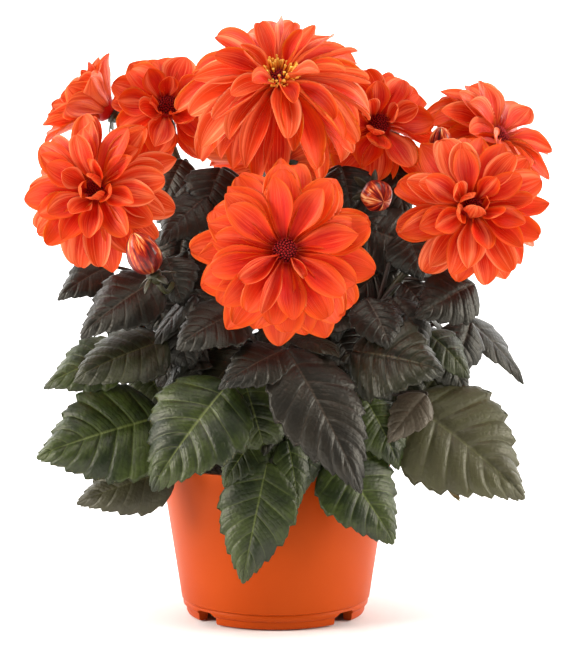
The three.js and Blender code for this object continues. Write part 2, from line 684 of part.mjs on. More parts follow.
add("pot", toGeometry(potSolid()), POT_PLASTIC);
add("soil", toGeometry(soilSolid(STEMS)), SOIL_BROWN);
for (const [name, bloom] of Object.entries(BLOOMS)) {
  add("stem_" + name, toGeometry(leafyStemSolid(name)), LEAF_GREEN);
  place(add("petals_" + name, toGeometry(bloomSolid(bloom)), PETAL_ORANGE), bloom, bloom.at);
  place(add("disc_" + name, turned(discProfile(bloom.disc, 0), DISC_SIDES), DISC_MAROON), bloom, bloom.at);
}
const florets = add("florets_top", toGeometry(floretSolid(BLOOMS.top.disc)), FLORET_YELLOW);
place(florets, BLOOMS.top, BLOOMS.top.at);
for (const [name, bud] of Object.entries(BUDS)) {
  place(add("bud_" + name, budGeometry(bud), BUD_STRIPED), bud, bud.middle);
}

export default plant;
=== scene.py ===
import bpy
import numpy as np
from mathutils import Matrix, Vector


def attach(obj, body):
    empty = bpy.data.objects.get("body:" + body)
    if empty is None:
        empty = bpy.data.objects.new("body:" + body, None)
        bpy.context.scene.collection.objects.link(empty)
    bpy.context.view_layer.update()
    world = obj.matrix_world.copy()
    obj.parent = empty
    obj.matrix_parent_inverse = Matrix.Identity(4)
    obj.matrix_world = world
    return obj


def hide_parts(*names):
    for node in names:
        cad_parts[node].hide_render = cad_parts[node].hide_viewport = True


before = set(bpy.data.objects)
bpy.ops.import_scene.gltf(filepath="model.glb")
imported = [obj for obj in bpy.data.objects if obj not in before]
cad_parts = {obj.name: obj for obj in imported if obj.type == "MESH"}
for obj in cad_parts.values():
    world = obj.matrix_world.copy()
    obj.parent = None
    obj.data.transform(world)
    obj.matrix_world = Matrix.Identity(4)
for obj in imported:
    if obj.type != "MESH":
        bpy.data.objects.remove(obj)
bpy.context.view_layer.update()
MM = 0.001

# %% [markdown]
# ## Small tools for curves
# Everything on the plant follows a curve: a stem, a stalk, the midrib of a leaf. A Bézier curve needs only
# three or four points, and the plain model uses the same ones, so the fine surfaces land on its solids.
# %% Directions, chance and curves
UP = np.array([0.0, 0.0, 1.0])


def unit(vectors):
    """Each vector divided by its own length."""
    return vectors / np.maximum(np.linalg.norm(vectors, axis=-1, keepdims=True), 1e-12)


def towards(azimuth, elevation):
    """The direction at an azimuth, counted from the front towards +X, and a height above the horizon."""
    a, e = np.radians(azimuth), np.radians(elevation)
    return np.stack([np.sin(a) * np.cos(e), -np.cos(a) * np.cos(e), np.sin(e) + 0 * a], axis=-1)


def chance(a, b):
    """A number from 0 to 1: the fraction left of a large sine of the two seeds."""
    wave = np.sin(a * 12.9898 + b * 78.233) * 43758.5453
    return wave - np.floor(wave)


def smooth(low, high, x):
    """0 below low, 1 above high, and 3t^2 - 2t^3 in between."""
    t = np.clip((x - low) / (high - low), 0, 1)
    return t * t * (3 - 2 * t)


def spokes(turn):
    """For each turn round an upright axis: the direction outwards, and the one to the right of it."""
    outwards = np.stack([np.cos(turn), np.sin(turn), 0 * turn], axis=-1)
    return outwards, np.stack([np.sin(turn), -np.cos(turn), 0 * turn], axis=-1)


def bezier(controls, t):
    """The Bézier curve through its control points, by blending neighbours until one point is left."""
    t = np.asarray(t, float)[..., None]
    layer = [np.asarray(control, float) for control in controls]
    while len(layer) > 1:
        layer = [near + (far - near) * t for near, far in zip(layer, layer[1:])]
    return layer[0] + 0 * t


def bezier_heading(controls, t):
    """The unit tangent of a Bézier curve, which is the Bézier curve of the steps between its points."""
    steps = [np.subtract(far, near) for near, far in zip(controls, controls[1:])]
    return unit(bezier(steps, t))


print("a curve's middle:", bezier([(0, 0, 0), (0, 0, 10), (10, 0, 10)], 0.5))

# %% [markdown]
# ## One way to close every surface
# A petal, a leaf, a stalk and a bud are all sleeves: rings of points one after another, closed by a point
# at each end. Solidify could give a flat petal its thickness, but then its edge would be a wall. A sleeve
# lets the two faces meet in a thin edge, and it is closed by construction.
# %% The sleeve and the piece that collects sleeves


def faces_between(length, around):
    """The four corners of every face between neighbouring rings, as places in the list of points."""
    i, j = np.meshgrid(np.arange(length - 1), np.arange(around), indexing="ij")
    after = (j + 1) % around
    near, far = i * around, (i + 1) * around
    return np.stack([near + j, near + after, far + after, far + j], axis=-1).reshape(-1, 4)


class Growth:
    """Collects closed sleeves for one piece, each with its finish and with two marks for every point."""

    def __init__(self, name):
        self.name = name
        self.points, self.quads, self.triangles = [], [], []
        self.marks, self.tints = [], []
        self.quad_finish, self.triangle_finish = [], []
        self.count = 0

    def add(self, rings, marks, tints, finish=0):
        """Adds sleeves from an array of shape sleeves x rings x points x 3. A ring turns by the right hand
        about the way that the sleeve runs. marks and tints have that shape too, or spread to it."""
        sleeves, length, around, _ = rings.shape
        marks = np.broadcast_to(marks, rings.shape)
        tints = np.broadcast_to(tints, rings.shape)
        ends = [values[:, [0, -1]].mean(axis=2) for values in (rings, marks, tints)]
        size = length * around + 2
        start = self.count + size * np.arange(sleeves)[:, None]
        quad = faces_between(length, around)[None]
        k = np.arange(around)
        first = np.stack([0 * k + size - 2, (k + 1) % around, k], axis=-1)
        last = (length - 1) * around
        final = np.stack([0 * k + size - 1, last + k, last + (k + 1) % around], axis=-1)
        triangle = np.concatenate([first, final])[None]
        for store, values, end in zip((self.points, self.marks, self.tints), (rings, marks, tints), ends):
            whole = np.concatenate([values.reshape(sleeves, -1, 3), end], axis=1)
            store.append(whole.reshape(-1, 3))
        self.quads.append((quad + start[..., None]).reshape(-1, 4))
        self.triangles.append((triangle + start[..., None]).reshape(-1, 3))
        self.quad_finish.append(np.full(len(self.quads[-1]), finish))
        self.triangle_finish.append(np.full(len(self.triangles[-1]), finish))
        self.count += sleeves * size

    def build(self, materials, replaced):
        """Makes the mesh, in metres, and its object, which rides on the plant and stands for CAD nodes."""
        points = np.concatenate(self.points) * MM
        quads, triangles = np.concatenate(self.quads), np.concatenate(self.triangles)
        mesh = bpy.data.meshes.new(self.name)
        mesh.vertices.add(len(points))
        mesh.vertices.foreach_set("co", points.ravel())
        corners = np.concatenate([quads.ravel(), triangles.ravel()]).astype(np.int32)
        mesh.loops.add(len(corners))
        mesh.loops.foreach_set("vertex_index", corners)
        starts = np.concatenate([4 * np.arange(len(quads)), quads.size + 3 * np.arange(len(triangles))])
        mesh.polygons.add(len(starts))
        mesh.polygons.foreach_set("loop_start", starts.astype(np.int32))
        finish = np.concatenate(self.quad_finish + self.triangle_finish)
        mesh.polygons.foreach_set("material_index", finish.astype(np.int32))
        mesh.polygons.foreach_set("use_smooth", np.ones(len(starts), bool))
        for name, store in (("place", self.marks), ("tint", self.tints)):
            attribute = mesh.attributes.new(name, "FLOAT_VECTOR", "POINT")
            attribute.data.foreach_set("vector", np.concatenate(store).astype(np.float32).ravel())
        mesh.update(calc_edges=True)
        mesh.validate()
        for material in materials:
            mesh.materials.append(material)
        piece = bpy.data.objects.new(self.name, mesh)
        bpy.context.scene.collection.objects.link(piece)
        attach(piece, "root")
        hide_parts(*replaced)
        print(self.name, "has", 2 * len(quads) + len(triangles), "triangles")
        return piece


def two_faced(top, underside):
    """The ring round a blade: over its upper face from the left edge to the right, and back underneath.
    The underside leaves out its two edge points, because the faces share them."""
    return np.concatenate([top, underside[..., -2:0:-1, :]], axis=-2)


def face_marks(along, across, shape=0.0):
    """The marks of a blade's ring: how far along and across it is, then 0 on top and 1 underneath."""
    sides = [np.stack(np.broadcast_arrays(along, across, side + 0 * shape), axis=-1) for side in (0.0, 1.0)]
    return two_faced(*sides)


def tube(path, heading, reference, radius, around=10):
    """Rings round a path: middle + radius (cos t a + sin t b), with a and b square to the heading."""
    side = unit(np.cross(reference, heading))
    other = np.cross(heading, side)
    angle = 2 * np.pi * np.arange(around) / around
    radius = np.broadcast_to(np.asarray(radius, float), path.shape[:-1])[..., None, None]
    circle = np.cos(angle)[:, None] * side[..., None, :] + np.sin(angle)[:, None] * other[..., None, :]
    return path[..., None, :] + radius * circle


def turned(profile, around=24):
    """Rings of a turned body: one ring for each radius and height of the profile, from below upwards."""
    profile = np.array(profile, float)
    circle = spokes(2 * np.pi * np.arange(around) / around)[0]
    return (profile[:, None, :1] * circle + profile[:, None, 1:] * UP)[None]


print("a turned cup's rings, points and axes:", turned([(1, 0), (3, 2), (3, 6)]).shape[1:])

# %% [markdown]
# ## Where everything is
# The plain model holds the plant's layout, and the fine surfaces use the same places, in millimetres and
# degrees. Each bloom has a middle, the way that it faces, the radius of its disc and its rings of petals,
# from the outside in. A ring gives the number of petals, their length and half width, the angles above the
# bloom's own level at which they leave the core and end, and the height of their roots. Some rings hold more
# and broader petals than the plain model's, because a mesh can spare them.
# %% Blooms
FLAT = [(12, 47, 12.5, 2, -30, -4), (10, 43, 11.5, 12, -16, -1.5), (8, 37, 9.5, 24, 0, -0.5)]
DOME = [
    (12, 58, 11.5, -8, -76, -4),
    (10, 56, 11.5, 10, -52, -2),
    (8, 45, 10, 28, -24, -0.5),
    (4, 26, 8, 62, 24, 0),
]
FULL = [
    (10, 41, 10.5, 0, -36, -4),
    (8, 37, 10, 18, -8, -2),
    (6, 28, 8.5, 40, 16, -0.5),
    (3, 17, 6.5, 72, 118, 0),
]
SMALL = [(8, 31, 12.5, 2, -30, -4), (6, 27, 10.5, 26, 0, -1.5), (3, 17, 7, 62, 80, 0)]
ROUND = [(11, 41, 13, -6, -62, -4), (9, 37, 12, 14, -30, -2), (6, 28, 9.5, 40, 4, -0.5)]
CUP = [(7, 40, 12.5, 40, 34, -4), (6, 35, 11, 58, 50, -2), (4, 26, 8.5, 78, 70, 0)]
BLOOMS = {
    "top": dict(seed=1, at=(2, -24, 322), azimuth=0, elevation=50, disc=7, rings=DOME),
    "front": dict(seed=2, at=(6, -84, 227), azimuth=0, elevation=10, disc=6.5, rings=FLAT),
    "left": dict(seed=3, at=(-104, -45, 259), azimuth=-15, elevation=12, disc=5, rings=FULL),
    "right": dict(seed=4, at=(114, -45, 249), azimuth=10, elevation=18, disc=5, rings=FULL),
    "upper_left": dict(seed=5, at=(-107, 40, 304), azimuth=-84, elevation=32, disc=5, rings=CUP),
    "rear_left": dict(seed=6, at=(-65, 21, 305), azimuth=8, elevation=30, disc=6, rings=SMALL),
    "rear_right": dict(seed=7, at=(62, 15, 294), azimuth=5, elevation=25, disc=6, rings=SMALL),
    "far_right": dict(seed=8, at=(135, 23, 287), azimuth=54, elevation=38, disc=6, rings=ROUND),
    "back": dict(seed=9, at=(2, 84, 268), azimuth=180, elevation=25, disc=5, rings=FULL),
}
print(len(BLOOMS), "blooms, the highest at", max(bloom["at"][2] for bloom in BLOOMS.values()), "mm")

# %% [markdown]
# Real blooms break the rule of their rings. The petals of the top bloom are the most folded and those of the
# front bloom the flattest, and the upper left bloom is shorter on one side. A few petals curl out of their
# ring: each gives its turn, how far it closes at its root and along its length, and then a ring's numbers.
# %% What sets single blooms apart
FOLDED = 0.75
BLOOMS["top"].update(channel=1.15)
BLOOMS["front"].update(
    channel=0.4,
    extra=[
        (214, 1.4, 1.2, 31, 10.5, 64, -30, 2),
        (250, 1.4, 1.0, 37, 7.5, 46, -10, 1.5),
        (305, 1.4, 1.4, 18, 6, 80, -40, 2.5),
    ],
)
BLOOMS["left"].update(extra=[(101, 1.0, 0.7, 37, 11, 14, -26, -2), (60, 1.2, 0.8, 34, 9, 30, 0, 0)])
BLOOMS["upper_left"].update(lopsided=0.13)
print("curled petals:", sum(len(bloom.get("extra", [])) for bloom in BLOOMS.values()))

# %% [markdown]
# A stem stands at its foot in the soil. A leaf gives the height at which its stalk leaves the stem, the base
# and the tip of its blade, its half width, the azimuth and height of the way its face looks, and how far its
# midrib arches. These are the leaves that the front shows, stem by stem.
# %% Feet and front leaves
FEET = {
    "top": (0, 2),
    "front": (4, -30),
    "left": (-26, -14),
    "right": (26, -14),
    "upper_left": (-30, 12),
    "rear_left": (-12, 20),
    "rear_right": (13, 20),
    "far_right": (30, 12),
    "back": (0, 38),
}
LEAVES = {
    "left": [
        (196, (-97, -18, 211), (-126, -30, 194), 13, -20, 30, 5),
        (172, (-67, -46, 206), (-110, -66, 176), 21, -22, 35, 5),
        (134, (-85, -24, 161), (-134, -36, 142), 20, -30, 35, 5),
        (148, (-63, -44, 169), (-114, -64, 150), 23, -18, 42, 5),
        (106, (-64, -46, 125), (-136, -64, 105), 32, -10, 32, 5),
        (97, (-59, -46, 94), (-114, -52, 76), 19, -8, 25, 5),
        (140, (-46, -40, 165), (-70, -52, 126), 8, -70, 15, 5),
        (160, (-46, -36, 196), (-72, -48, 164), 10, -50, 30, 5),
    ],
    "front": [
        (128, (-25, -74, 149), (-68, -98, 93), 30, -14, 30, 8),
        (120, (-18, -58, 149), (-4, -68, 102), 20, 0, 25, 7),
        (178, (-17, -60, 189), (-54, -80, 171), 21, -12, 46, 5),
        (162, (6, -74, 168), (-30, -94, 150), 15, -5, 42, 5),
        (150, (6, -74, 169), (48, -104, 93), 25, 12, 28, 9),
        (97, (-4, -74, 104), (-18, -84, 37), 22, -6, 12, 5),
        (108, (7, -68, 116), (13, -78, 80), 10, 10, 14, 5),
    ],
    "right": [
        (97, (33, -64, 106), (67, -76, 58), 24, 20, 20, 5),
        (150, (45, -54, 164), (95, -74, 156), 28, 10, 36, 5),
        (184, (53, -42, 194), (66, -62, 168), 16, 15, 30, 5),
        (178, (68, -36, 194), (88, -48, 166), 14, 25, 30, 5),
        (112, (76, -36, 133), (144, -54, 80), 35, 20, 22, 8),
        (204, (116, -36, 202), (83, -54, 186), 18, 12, 30, 5),
        (128, (88, -50, 139), (67, -62, 115), 12, 0, 35, 5),
        (120, (51, -50, 138), (71, -60, 99), 17, 20, 22, 5),
        (140, (89, -32, 173), (112, -38, 149), 13, 25, 30, 5),
    ],
    "far_right": [
        (160, (113, 4, 178), (148, 2, 140), 12, 50, 25, 5),
        (150, (115, -14, 178), (102, -28, 146), 14, 25, 22, 5),
    ],
    "rear_right": [
        (214, (54, -2, 232), (88, 2, 215), 22, 5, 32, 5),
        (246, (46, 4, 259), (37, -2, 236), 14, -10, 20, 5),
        (176, (72, 2, 212), (43, -6, 190), 18, 10, 30, 5),
    ],
    "rear_left": [
        (218, (-40, -6, 251), (-67, -16, 225), 15, -25, 30, 5),
        (244, (-46, 6, 262), (-41, 1, 226), 16, -5, 15, 5),
        (190, (-52, -1, 219), (-48, -3, 188), 18, -10, 20, 5),
        (176, (-37, 14, 214), (-65, 10, 187), 20, -15, 30, 5),
    ],
    "top": [
        (196, (27, -18, 198), (36, -30, 170), 18, 5, 30, 5),
        (160, (-8, -20, 162), (-25, -40, 152), 18, -10, 40, 5),
        (132, (-18, -32, 162), (-42, -46, 136), 16, -12, 30, 5),
    ],
}
print(sum(len(leaves) for leaves in LEAVES.values()), "front leaves")

# %% [markdown]
# The plain model stops there, but a real plant shows no daylight between its leaves. These smaller leaves
# fill the gaps behind the others. They are a part of the look alone.
# %% Leaves behind the front ones
INSIDE_LEAVES = {
    "left": [
        (128, (-47, -30, 173), (-68, -34, 144), 18, -10, 25, 5),
        (170, (-63, -36, 218), (-54, -42, 193), 15, -10, 25, 5),
        (146, (-58, -38, 184), (-50, -46, 154), 16, -5, 25, 5),
        (120, (-77, -12, 151), (-65, -18, 128), 17, -10, 25, 5),
        (150, (-71, -16, 197), (-64, -22, 172), 16, -10, 25, 5),
    ],
    "front": [
        (150, (-36, -40, 188), (-52, -44, 164), 15, -10, 25, 5),
        (100, (-8, -62, 117), (-28, -74, 91), 15, -25, 30, 5),
        (104, (13, -62, 115), (16, -70, 87), 13, 10, 25, 5),
    ],
    "right": [
        (130, (94, -20, 169), (111, -26, 137), 16, 20, 25, 5),
        (158, (75, -20, 201), (88, -24, 182), 13, 25, 30, 5),
        (186, (76, -18, 232), (86, -22, 206), 17, 15, 25, 5),
        (120, (102, -2, 152), (85, -8, 130), 17, 15, 25, 5),
        (112, (79, -12, 151), (67, -20, 125), 15, 10, 25, 5),
    ],
    "rear_left": [
        (250, (-55, 22, 272), (-66, 18, 246), 15, -20, 20, 5),
        (238, (-50, 20, 262), (-48, 14, 233), 18, 0, 20, 5),
        (214, (-54, 18, 234), (-58, 12, 205), 18, -10, 25, 5),
    ],
    "rear_right": [
        (206, (45, 2, 250), (58, -2, 226), 17, 5, 25, 5),
        (190, (58, 6, 224), (46, 2, 206), 16, -10, 25, 5),
        (240, (55, 22, 277), (67, 18, 257), 12, 10, 20, 5),
        (222, (69, 16, 274), (77, 10, 239), 15, 10, 20, 5),
    ],
    "far_right": [
        (200, (70, 8, 235), (80, 4, 212), 15, 15, 25, 5),
    ],
    "top": [
        (176, (10, -20, 174), (-8, -28, 162), 16, 0, 35, 5),
        (150, (32, -24, 174), (45, -30, 154), 16, 10, 35, 5),
        (240, (-32, 0, 268), (-41, -6, 242), 18, -10, 25, 5),
        (236, (39, 0, 269), (44, -6, 245), 16, 10, 25, 5),
    ],
}
print(sum(len(leaves) for leaves in INSIDE_LEAVES.values()), "leaves behind them")

# %% [markdown]
# The sides and the back need no single care: their leaves come in five tiers. A tier gives the height of its
# stalks on the stem, how far they rise and reach out, the length and half width of the blades, and how far
# they droop. Each leaf then needs only an azimuth and a tier. The buds close the list, each with its stem,
# the height of its shoot, its middle, its radius and length, and the way that it points.
# %% Side leaves and buds
TIERS = [
    (99, 10, 34, 72, 24, 42),
    (112, 14, 34, 70, 24, 20),
    (140, 14, 30, 60, 20, 42),
    (158, 16, 28, 56, 20, 24),
    (196, 14, 26, 46, 16, 40),
]
SIDE_LEAVES = {
    "far_right": [(76, 1), (110, 0), (104, 3), (136, 2), (118, 4)],
    "back": [(148, 1), (180, 0), (212, 1), (164, 2), (198, 3), (180, 4)],
    "upper_left": [(250, 0), (284, 1), (230, 2), (266, 3), (248, 4)],
    "rear_right": [(150, 4)],
    "rear_left": [(186, 4)],
}
BUDS = {
    "left": dict(stem="left", at=200, middle=(-75, -75, 225), size=(9, 26), facing=(-60, 62)),
    "middle": dict(stem="rear_right", at=232, middle=(60, -30, 254), size=(8.5, 19), facing=(20, -15)),
    "right": dict(stem="far_right", at=244, middle=(98, -10, 287), size=(6, 14), facing=(0, 70)),
}
print(sum(len(leaves) for leaves in SIDE_LEAVES.values()), "side leaves and", len(BUDS), "buds")

# %% [markdown]
# ## Shader maths that reads like maths
# Node trees are built here from expressions. A small class wraps a socket and overloads the operators, so
# that `1 - mask` adds a Math node by itself. Colours go through Mix nodes instead, because a Math node would
# turn them grey.
# %% The socket class


class Sock:
    """A node's output that can be used in expressions."""

    def __init__(self, tree, socket):
        self.tree, self.socket = tree, socket

    def node(self, kind, inputs=(), output=0, **settings):
        """Adds a node of a type: its settings first, then the values or links of its sockets."""
        made = self.tree.nodes.new(kind)
        for key, value in settings.items():
            if key == "stops":
                set_stops(made.color_ramp, value)
            else:
                setattr(made, key, value)
        for key, value in dict(inputs).items():
            target = made.inputs[key]
            if isinstance(value, Sock):
                self.tree.links.new(value.socket, target)
            else:
                target.default_value = value
        return Sock(self.tree, made.outputs[output])

    def math(self, operation, *values):
        """One Math node over values or other sockets."""
        return self.node("ShaderNodeMath", enumerate(values), operation=operation)

    def __add__(self, other):
        return self.math("ADD", self, other)

    def __radd__(self, other):
        return self.math("ADD", other, self)

    def __sub__(self, other):
        return self.math("SUBTRACT", self, other)

    def __rsub__(self, other):
        return self.math("SUBTRACT", other, self)

    def __mul__(self, other):
        return self.math("MULTIPLY", self, other)

    def __rmul__(self, other):
        return self.math("MULTIPLY", other, self)

    def __abs__(self):
        return self.math("ABSOLUTE", self)

    def fraction(self):
        """What is left above the whole number."""
        return self.math("FRACT", self)

    def nearness(self):
        """How far a value is from the nearest whole number, from 0 to a half."""
        return 0.5 - abs(self.fraction() - 0.5)

    def ramp(self, low, high):
        """0 below low, 1 above high and smooth in between."""
        places = {"Value": self, 1: low, 2: high}
        return self.node("ShaderNodeMapRange", places, interpolation_type="SMOOTHSTEP")

    def mix(self, colour, other):
        """One colour where this mask is 0 and the other where it is 1."""
        places = {0: self, 6: colour, 7: other}
        return self.node("ShaderNodeMix", places, output=2, data_type="RGBA")

    def axes(self):
        """The three parts of a vector."""
        split = self.node("ShaderNodeSeparateXYZ", {0: self})
        return [Sock(self.tree, socket) for socket in split.socket.node.outputs]

    def stretched(self, x, y, z):
        """A vector with each part multiplied by its own number."""
        return self.node("ShaderNodeVectorMath", {0: self, 1: (x, y, z)}, operation="MULTIPLY")

    def shifted(self, other):
        """The sum of two vectors."""
        return self.node("ShaderNodeVectorMath", {0: self, 1: other}, operation="ADD")

    def noise(self, scale, detail=3.0, roughness=0.55):
        """Cloudy noise from 0 to 1 over this vector."""
        places = {"Vector": self, "Scale": scale, "Detail": detail, "Roughness": roughness}
        return self.node("ShaderNodeTexNoise", places)

    def colours(self, stops):
        """A colour ramp over this value."""
        return self.node("ShaderNodeValToRGB", {0: self}, stops=stops)


def set_stops(ramp, stops):
    """Puts the stops, each a position and a colour, into a colour ramp."""
    while len(ramp.elements) < len(stops):
        ramp.elements.new(0.5)
    for element, (position, colour) in zip(ramp.elements, stops):
        element.position = position
        element.color = colour


def rgb(red, green, blue):
    """A colour from screen values of 0 to 255: values on a screen are linear ones to the power 1 / 2.2."""
    return tuple((value / 255) ** 2.2 for value in (red, green, blue)) + (1.0,)


class Finish:
    """A material with its Principled shader. Constant values go straight onto the shader's sockets."""

    def __init__(self, name, **values):
        self.material = bpy.data.materials.new(name)
        self.material.use_nodes = True
        self.tree = self.material.node_tree
        self.shader = self.tree.nodes["Principled BSDF"]
        for key, value in values.items():
            self.shader.inputs[key.replace("_", " ")].default_value = value
        self.start = Sock(self.tree, None)

    def object_place(self):
        """Where a point is on the object, in metres."""
        return self.start.node("ShaderNodeTexCoord", output=3)

    def attribute(self, name):
        """The vector that the mesh carries under a name."""
        return self.start.node("ShaderNodeAttribute", output=1, attribute_name=name)

    def set(self, name, value):
        """Feeds a socket of the Principled shader."""
        self.tree.links.new(value.socket, self.shader.inputs[name])

    def bump(self, height, distance, strength=1.0):
        """Tilts the shading by a height in metres."""
        places = {"Height": height, "Distance": distance, "Strength": strength}
        self.set("Normal", self.start.node("ShaderNodeBump", places))


def layered(colour, layers):
    """Lays colours over a first one, each where its mask is 1."""
    for mask, over in layers:
        colour = mask.mix(colour, over)
    return colour


print("screen orange as light:", [round(value, 3) for value in rgb(232, 67, 28)[:3]])

# %% [markdown]
# ## Petals
# A dahlia's petal is velvety, deep red at its root and a lighter orange along its margins, with fine lines
# running its length. Pale salmon streaks along its length, along the crest of its fold and on some rims are
# painted highlights. Each mesh carries two marks for every point: its place on the petal (along, across and
# which face) and the petal's own numbers (its chance, its depth in the bloom and how near a point is to a
# fold).
# The material reads those, so the lines and the painted highlights follow each petal. A petal also lets
# light
# through: a little of its own colour as emission stands for that, as a painted glow that lifts its shade,
# and costs less than true translucency.
# %% Petal finish
petal_finish = Finish(
    "petal_velvet",
    Roughness=0.45,
    Specular_IOR_Level=0.2,
    # the emission is painted light: a glow of the petal's own colour that lifts its shade
    Emission_Strength=0.24,
    Subsurface_Weight=0.1,
    Subsurface_Radius=(1.0, 0.25, 0.1),
    Subsurface_Scale=0.0015,
)
place = petal_finish.attribute("place")
tint = petal_finish.attribute("tint")
along, across, face = place.axes()
own, depth, crest = tint.axes()
margin = abs(across)
lines = place.shifted(tint.stretched(31, 17, 0)).stretched(1.1, 7, 0.3).noise(1.0, 4, 0.6)
# painted highlights: pale streaks along the length, standing for sheen on the ridges
painted_highlight_streaks = place.shifted(tint.stretched(23, 11, 0)).stretched(0.7, 13, 0.3).noise(1.0, 2)
painted_highlight_streaks = painted_highlight_streaks.ramp(0.52, 0.64) * along.ramp(0.2, 0.8)
cloud = petal_finish.object_place().noise(70, 3)
edge = margin.ramp(0.4, 1.0) * 0.6 + along.ramp(0.55, 1.0) * 0.6
# rim: a painted highlight on the margins of the most folded petals
rim = margin.ramp(0.62, 0.95) * along.ramp(0.1, 0.5) * own.ramp(0.35, 0.6)
red = (lines * 0.55 + cloud * 0.45).ramp(0.36, 0.64).mix(rgb(178, 23, 12), rgb(202, 44, 17))
pale_back = lines.ramp(0.35, 0.65).mix(rgb(206, 62, 26), rgb(234, 116, 66))
petal_layers = [
    (edge.math("MINIMUM", edge, 1.0) * 0.65, rgb(228, 90, 20)),
    (own.ramp(0.4, 1.0) * 0.3, rgb(232, 84, 22)),
    # painted highlights: along the crest of the fold, in streaks and on the rims
    (crest * lines.ramp(0.3, 0.6) * 0.7, rgb(255, 146, 96)),
    (painted_highlight_streaks * (own * 0.35 + 0.08), rgb(250, 140, 92)),
    (rim * (painted_highlight_streaks * 0.4 + 0.35), rgb(250, 152, 110)),
    (face * 0.75, pale_back),
    ((1 - along.ramp(0.0, 0.24)) * 0.75, rgb(120, 6, 8)),
    (depth * 0.35, rgb(160, 14, 10)),
]
body = layered(red, petal_layers)
petal_finish.set("Base Color", body)
# the body colour glows as painted light, which lifts the petals' shaded parts
petal_finish.set("Emission Color", body)
petal_finish.bump(place.shifted(tint.stretched(13, 7, 0)).stretched(0.6, 16, 0).noise(1.0, 2), 0.0008, 0.7)
print("petal nodes:", len(petal_finish.tree.nodes))

# %% [markdown]
# A petal follows an arc that leaves the bloom's core at one angle and ends at another. Across that arc its
# width swells and ends round or pointed. The petal is rolled a little, like a roof tile, so that each one
# slides under its neighbour. Its sides rise near the root, and one soft fold runs along it.
# %% Petal surfaces
PETAL_ROOT = 6.5
PETAL_ALONG = np.concatenate([np.linspace(0, 0.8, 13), [0.86, 0.91, 0.95, 0.98, 0.995]])
PETAL_ACROSS = np.array([-1, -0.9, -0.75, -0.6, -0.45, -0.3, -0.15, 0, 0.15, 0.3, 0.45, 0.6, 0.75, 0.9, 1])
PETAL_THICKNESS = 0.5


def facing_axes(azimuth, elevation):
    """A bloom's own axes as rows: its right, its top and the way it faces."""
    face = towards(azimuth, elevation)
    right = unit(np.cross(UP, face))
    return np.stack([right, np.cross(face, right), face])


def petal_width(u, point):
    """The share of the half width: a smooth swell from the claw to 0.6, then a rounded or pointed end."""
    swell = 0.36 + 0.64 * smooth(-0.05, 0.6, u)
    s = np.clip((u - 0.55) / 0.45, 0, 1)
    return swell * (1 - s**2.2) ** point


def petal_rings(petals):
    """Rings round every petal. The middle line is an arc of a circle whose heading turns evenly. Across it
    the blade is an arc too: side = w sin(kv) / k and lift = w (1 - cos(kv)) / k, so k is how far it closes.
    A fold exp(-((v - c) / 0.18)^2) runs along it, its edges wave, and its tip hooks and is cut a little."""
    turn, length, half, start, end, rise, roll, closed, channel, level = petals.T[:10, :, None, None]
    lot = petals[:, 10:].T[..., None, None]
    u = PETAL_ALONG[None, :, None]
    v = PETAL_ACROSS[None, None, :]
    outwards, sideways = spokes(turn)
    bend = end - start
    angle = start + bend * u
    out = PETAL_ROOT + length * (np.sin(angle) - np.sin(start)) / bend
    high = rise - length * (np.cos(angle) - np.cos(start)) / bend
    middle = out[..., None] * outwards + high[..., None] * UP
    along = np.cos(angle)[..., None] * outwards + np.sin(angle)[..., None] * UP
    flat = np.cos(angle)[..., None] * UP - np.sin(angle)[..., None] * outwards
    twist = roll * (1 - 0.5 * u) + 0.9 * (lot[0] - 0.5) * u
    right = np.cos(twist)[..., None] * sideways + np.sin(twist)[..., None] * flat
    normal = np.cos(twist)[..., None] * flat - np.sin(twist)[..., None] * sideways
    width = half * petal_width(u, 0.4 + 0.65 * lot[1] ** 1.3)
    k = closed * (1 - smooth(0.0, 0.6, u)) + channel * (0.6 + 0.8 * lot[5]) + 0.02
    fold = 1.7 * (lot[2] - 0.5) * (1 - 0.3 * u)
    crest = np.exp(-(((v - fold) / 0.18) ** 2)) * (0.25 + 0.75 * (lot[6] > 0.4))
    fine = 0.014 * np.cos(2 * np.pi * (2.6 * v + lot[1]))
    pleat = half * (0.17 * crest + fine) * np.sin(np.pi * np.clip(u + 0.08, 0, 1)) ** 0.8
    wave = 0.1 * half * np.abs(v) ** 2.2 * np.sin(2 * np.pi * (1.2 * u + lot[3]) + 1.6 * v) * u
    hook = (lot[4] - 0.45) * 1.2 * half * np.clip(u - 0.7, 0, 1) ** 2 * 7
    lift = width * (1 - np.cos(k * v)) / k + (pleat + wave) * (width / half) + hook
    notch = 0.035 * length * np.cos(2 * np.pi * (1.4 * v + lot[6])) * smooth(0.78, 1.0, u) * (width / half)
    side = width * np.sin(k * v) / k
    top = middle + side[..., None] * right + lift[..., None] * normal + notch[..., None] * along
    thin = PETAL_THICKNESS * (1 - v**4) * (1 - 0.5 * u)
    underside = top - thin[..., None] * normal
    # the chance and the nearness to the fold, scaled by how folded the bloom is, set the tone and the
    # painted highlights
    tone_and_painted_highlight_share = np.clip(1.3 * channel - 0.3, 0, 1)
    tints = np.stack(np.broadcast_arrays(lot[7] * tone_and_painted_highlight_share, level, crest * tone_and_painted_highlight_share), axis=-1)
    return two_faced(top, underside), face_marks(u, v, turn), two_faced(tints, tints)


print("points round a petal:", 2 * len(PETAL_ACROSS) - 2, "in", len(PETAL_ALONG), "rings")

# %% [markdown]
# A ring spreads its petals evenly and then sways every number a little by chance, because a bloom in which
# all petals are alike looks cast. A further ring halfway between each two closes the gaps.
# %% Rings of petals


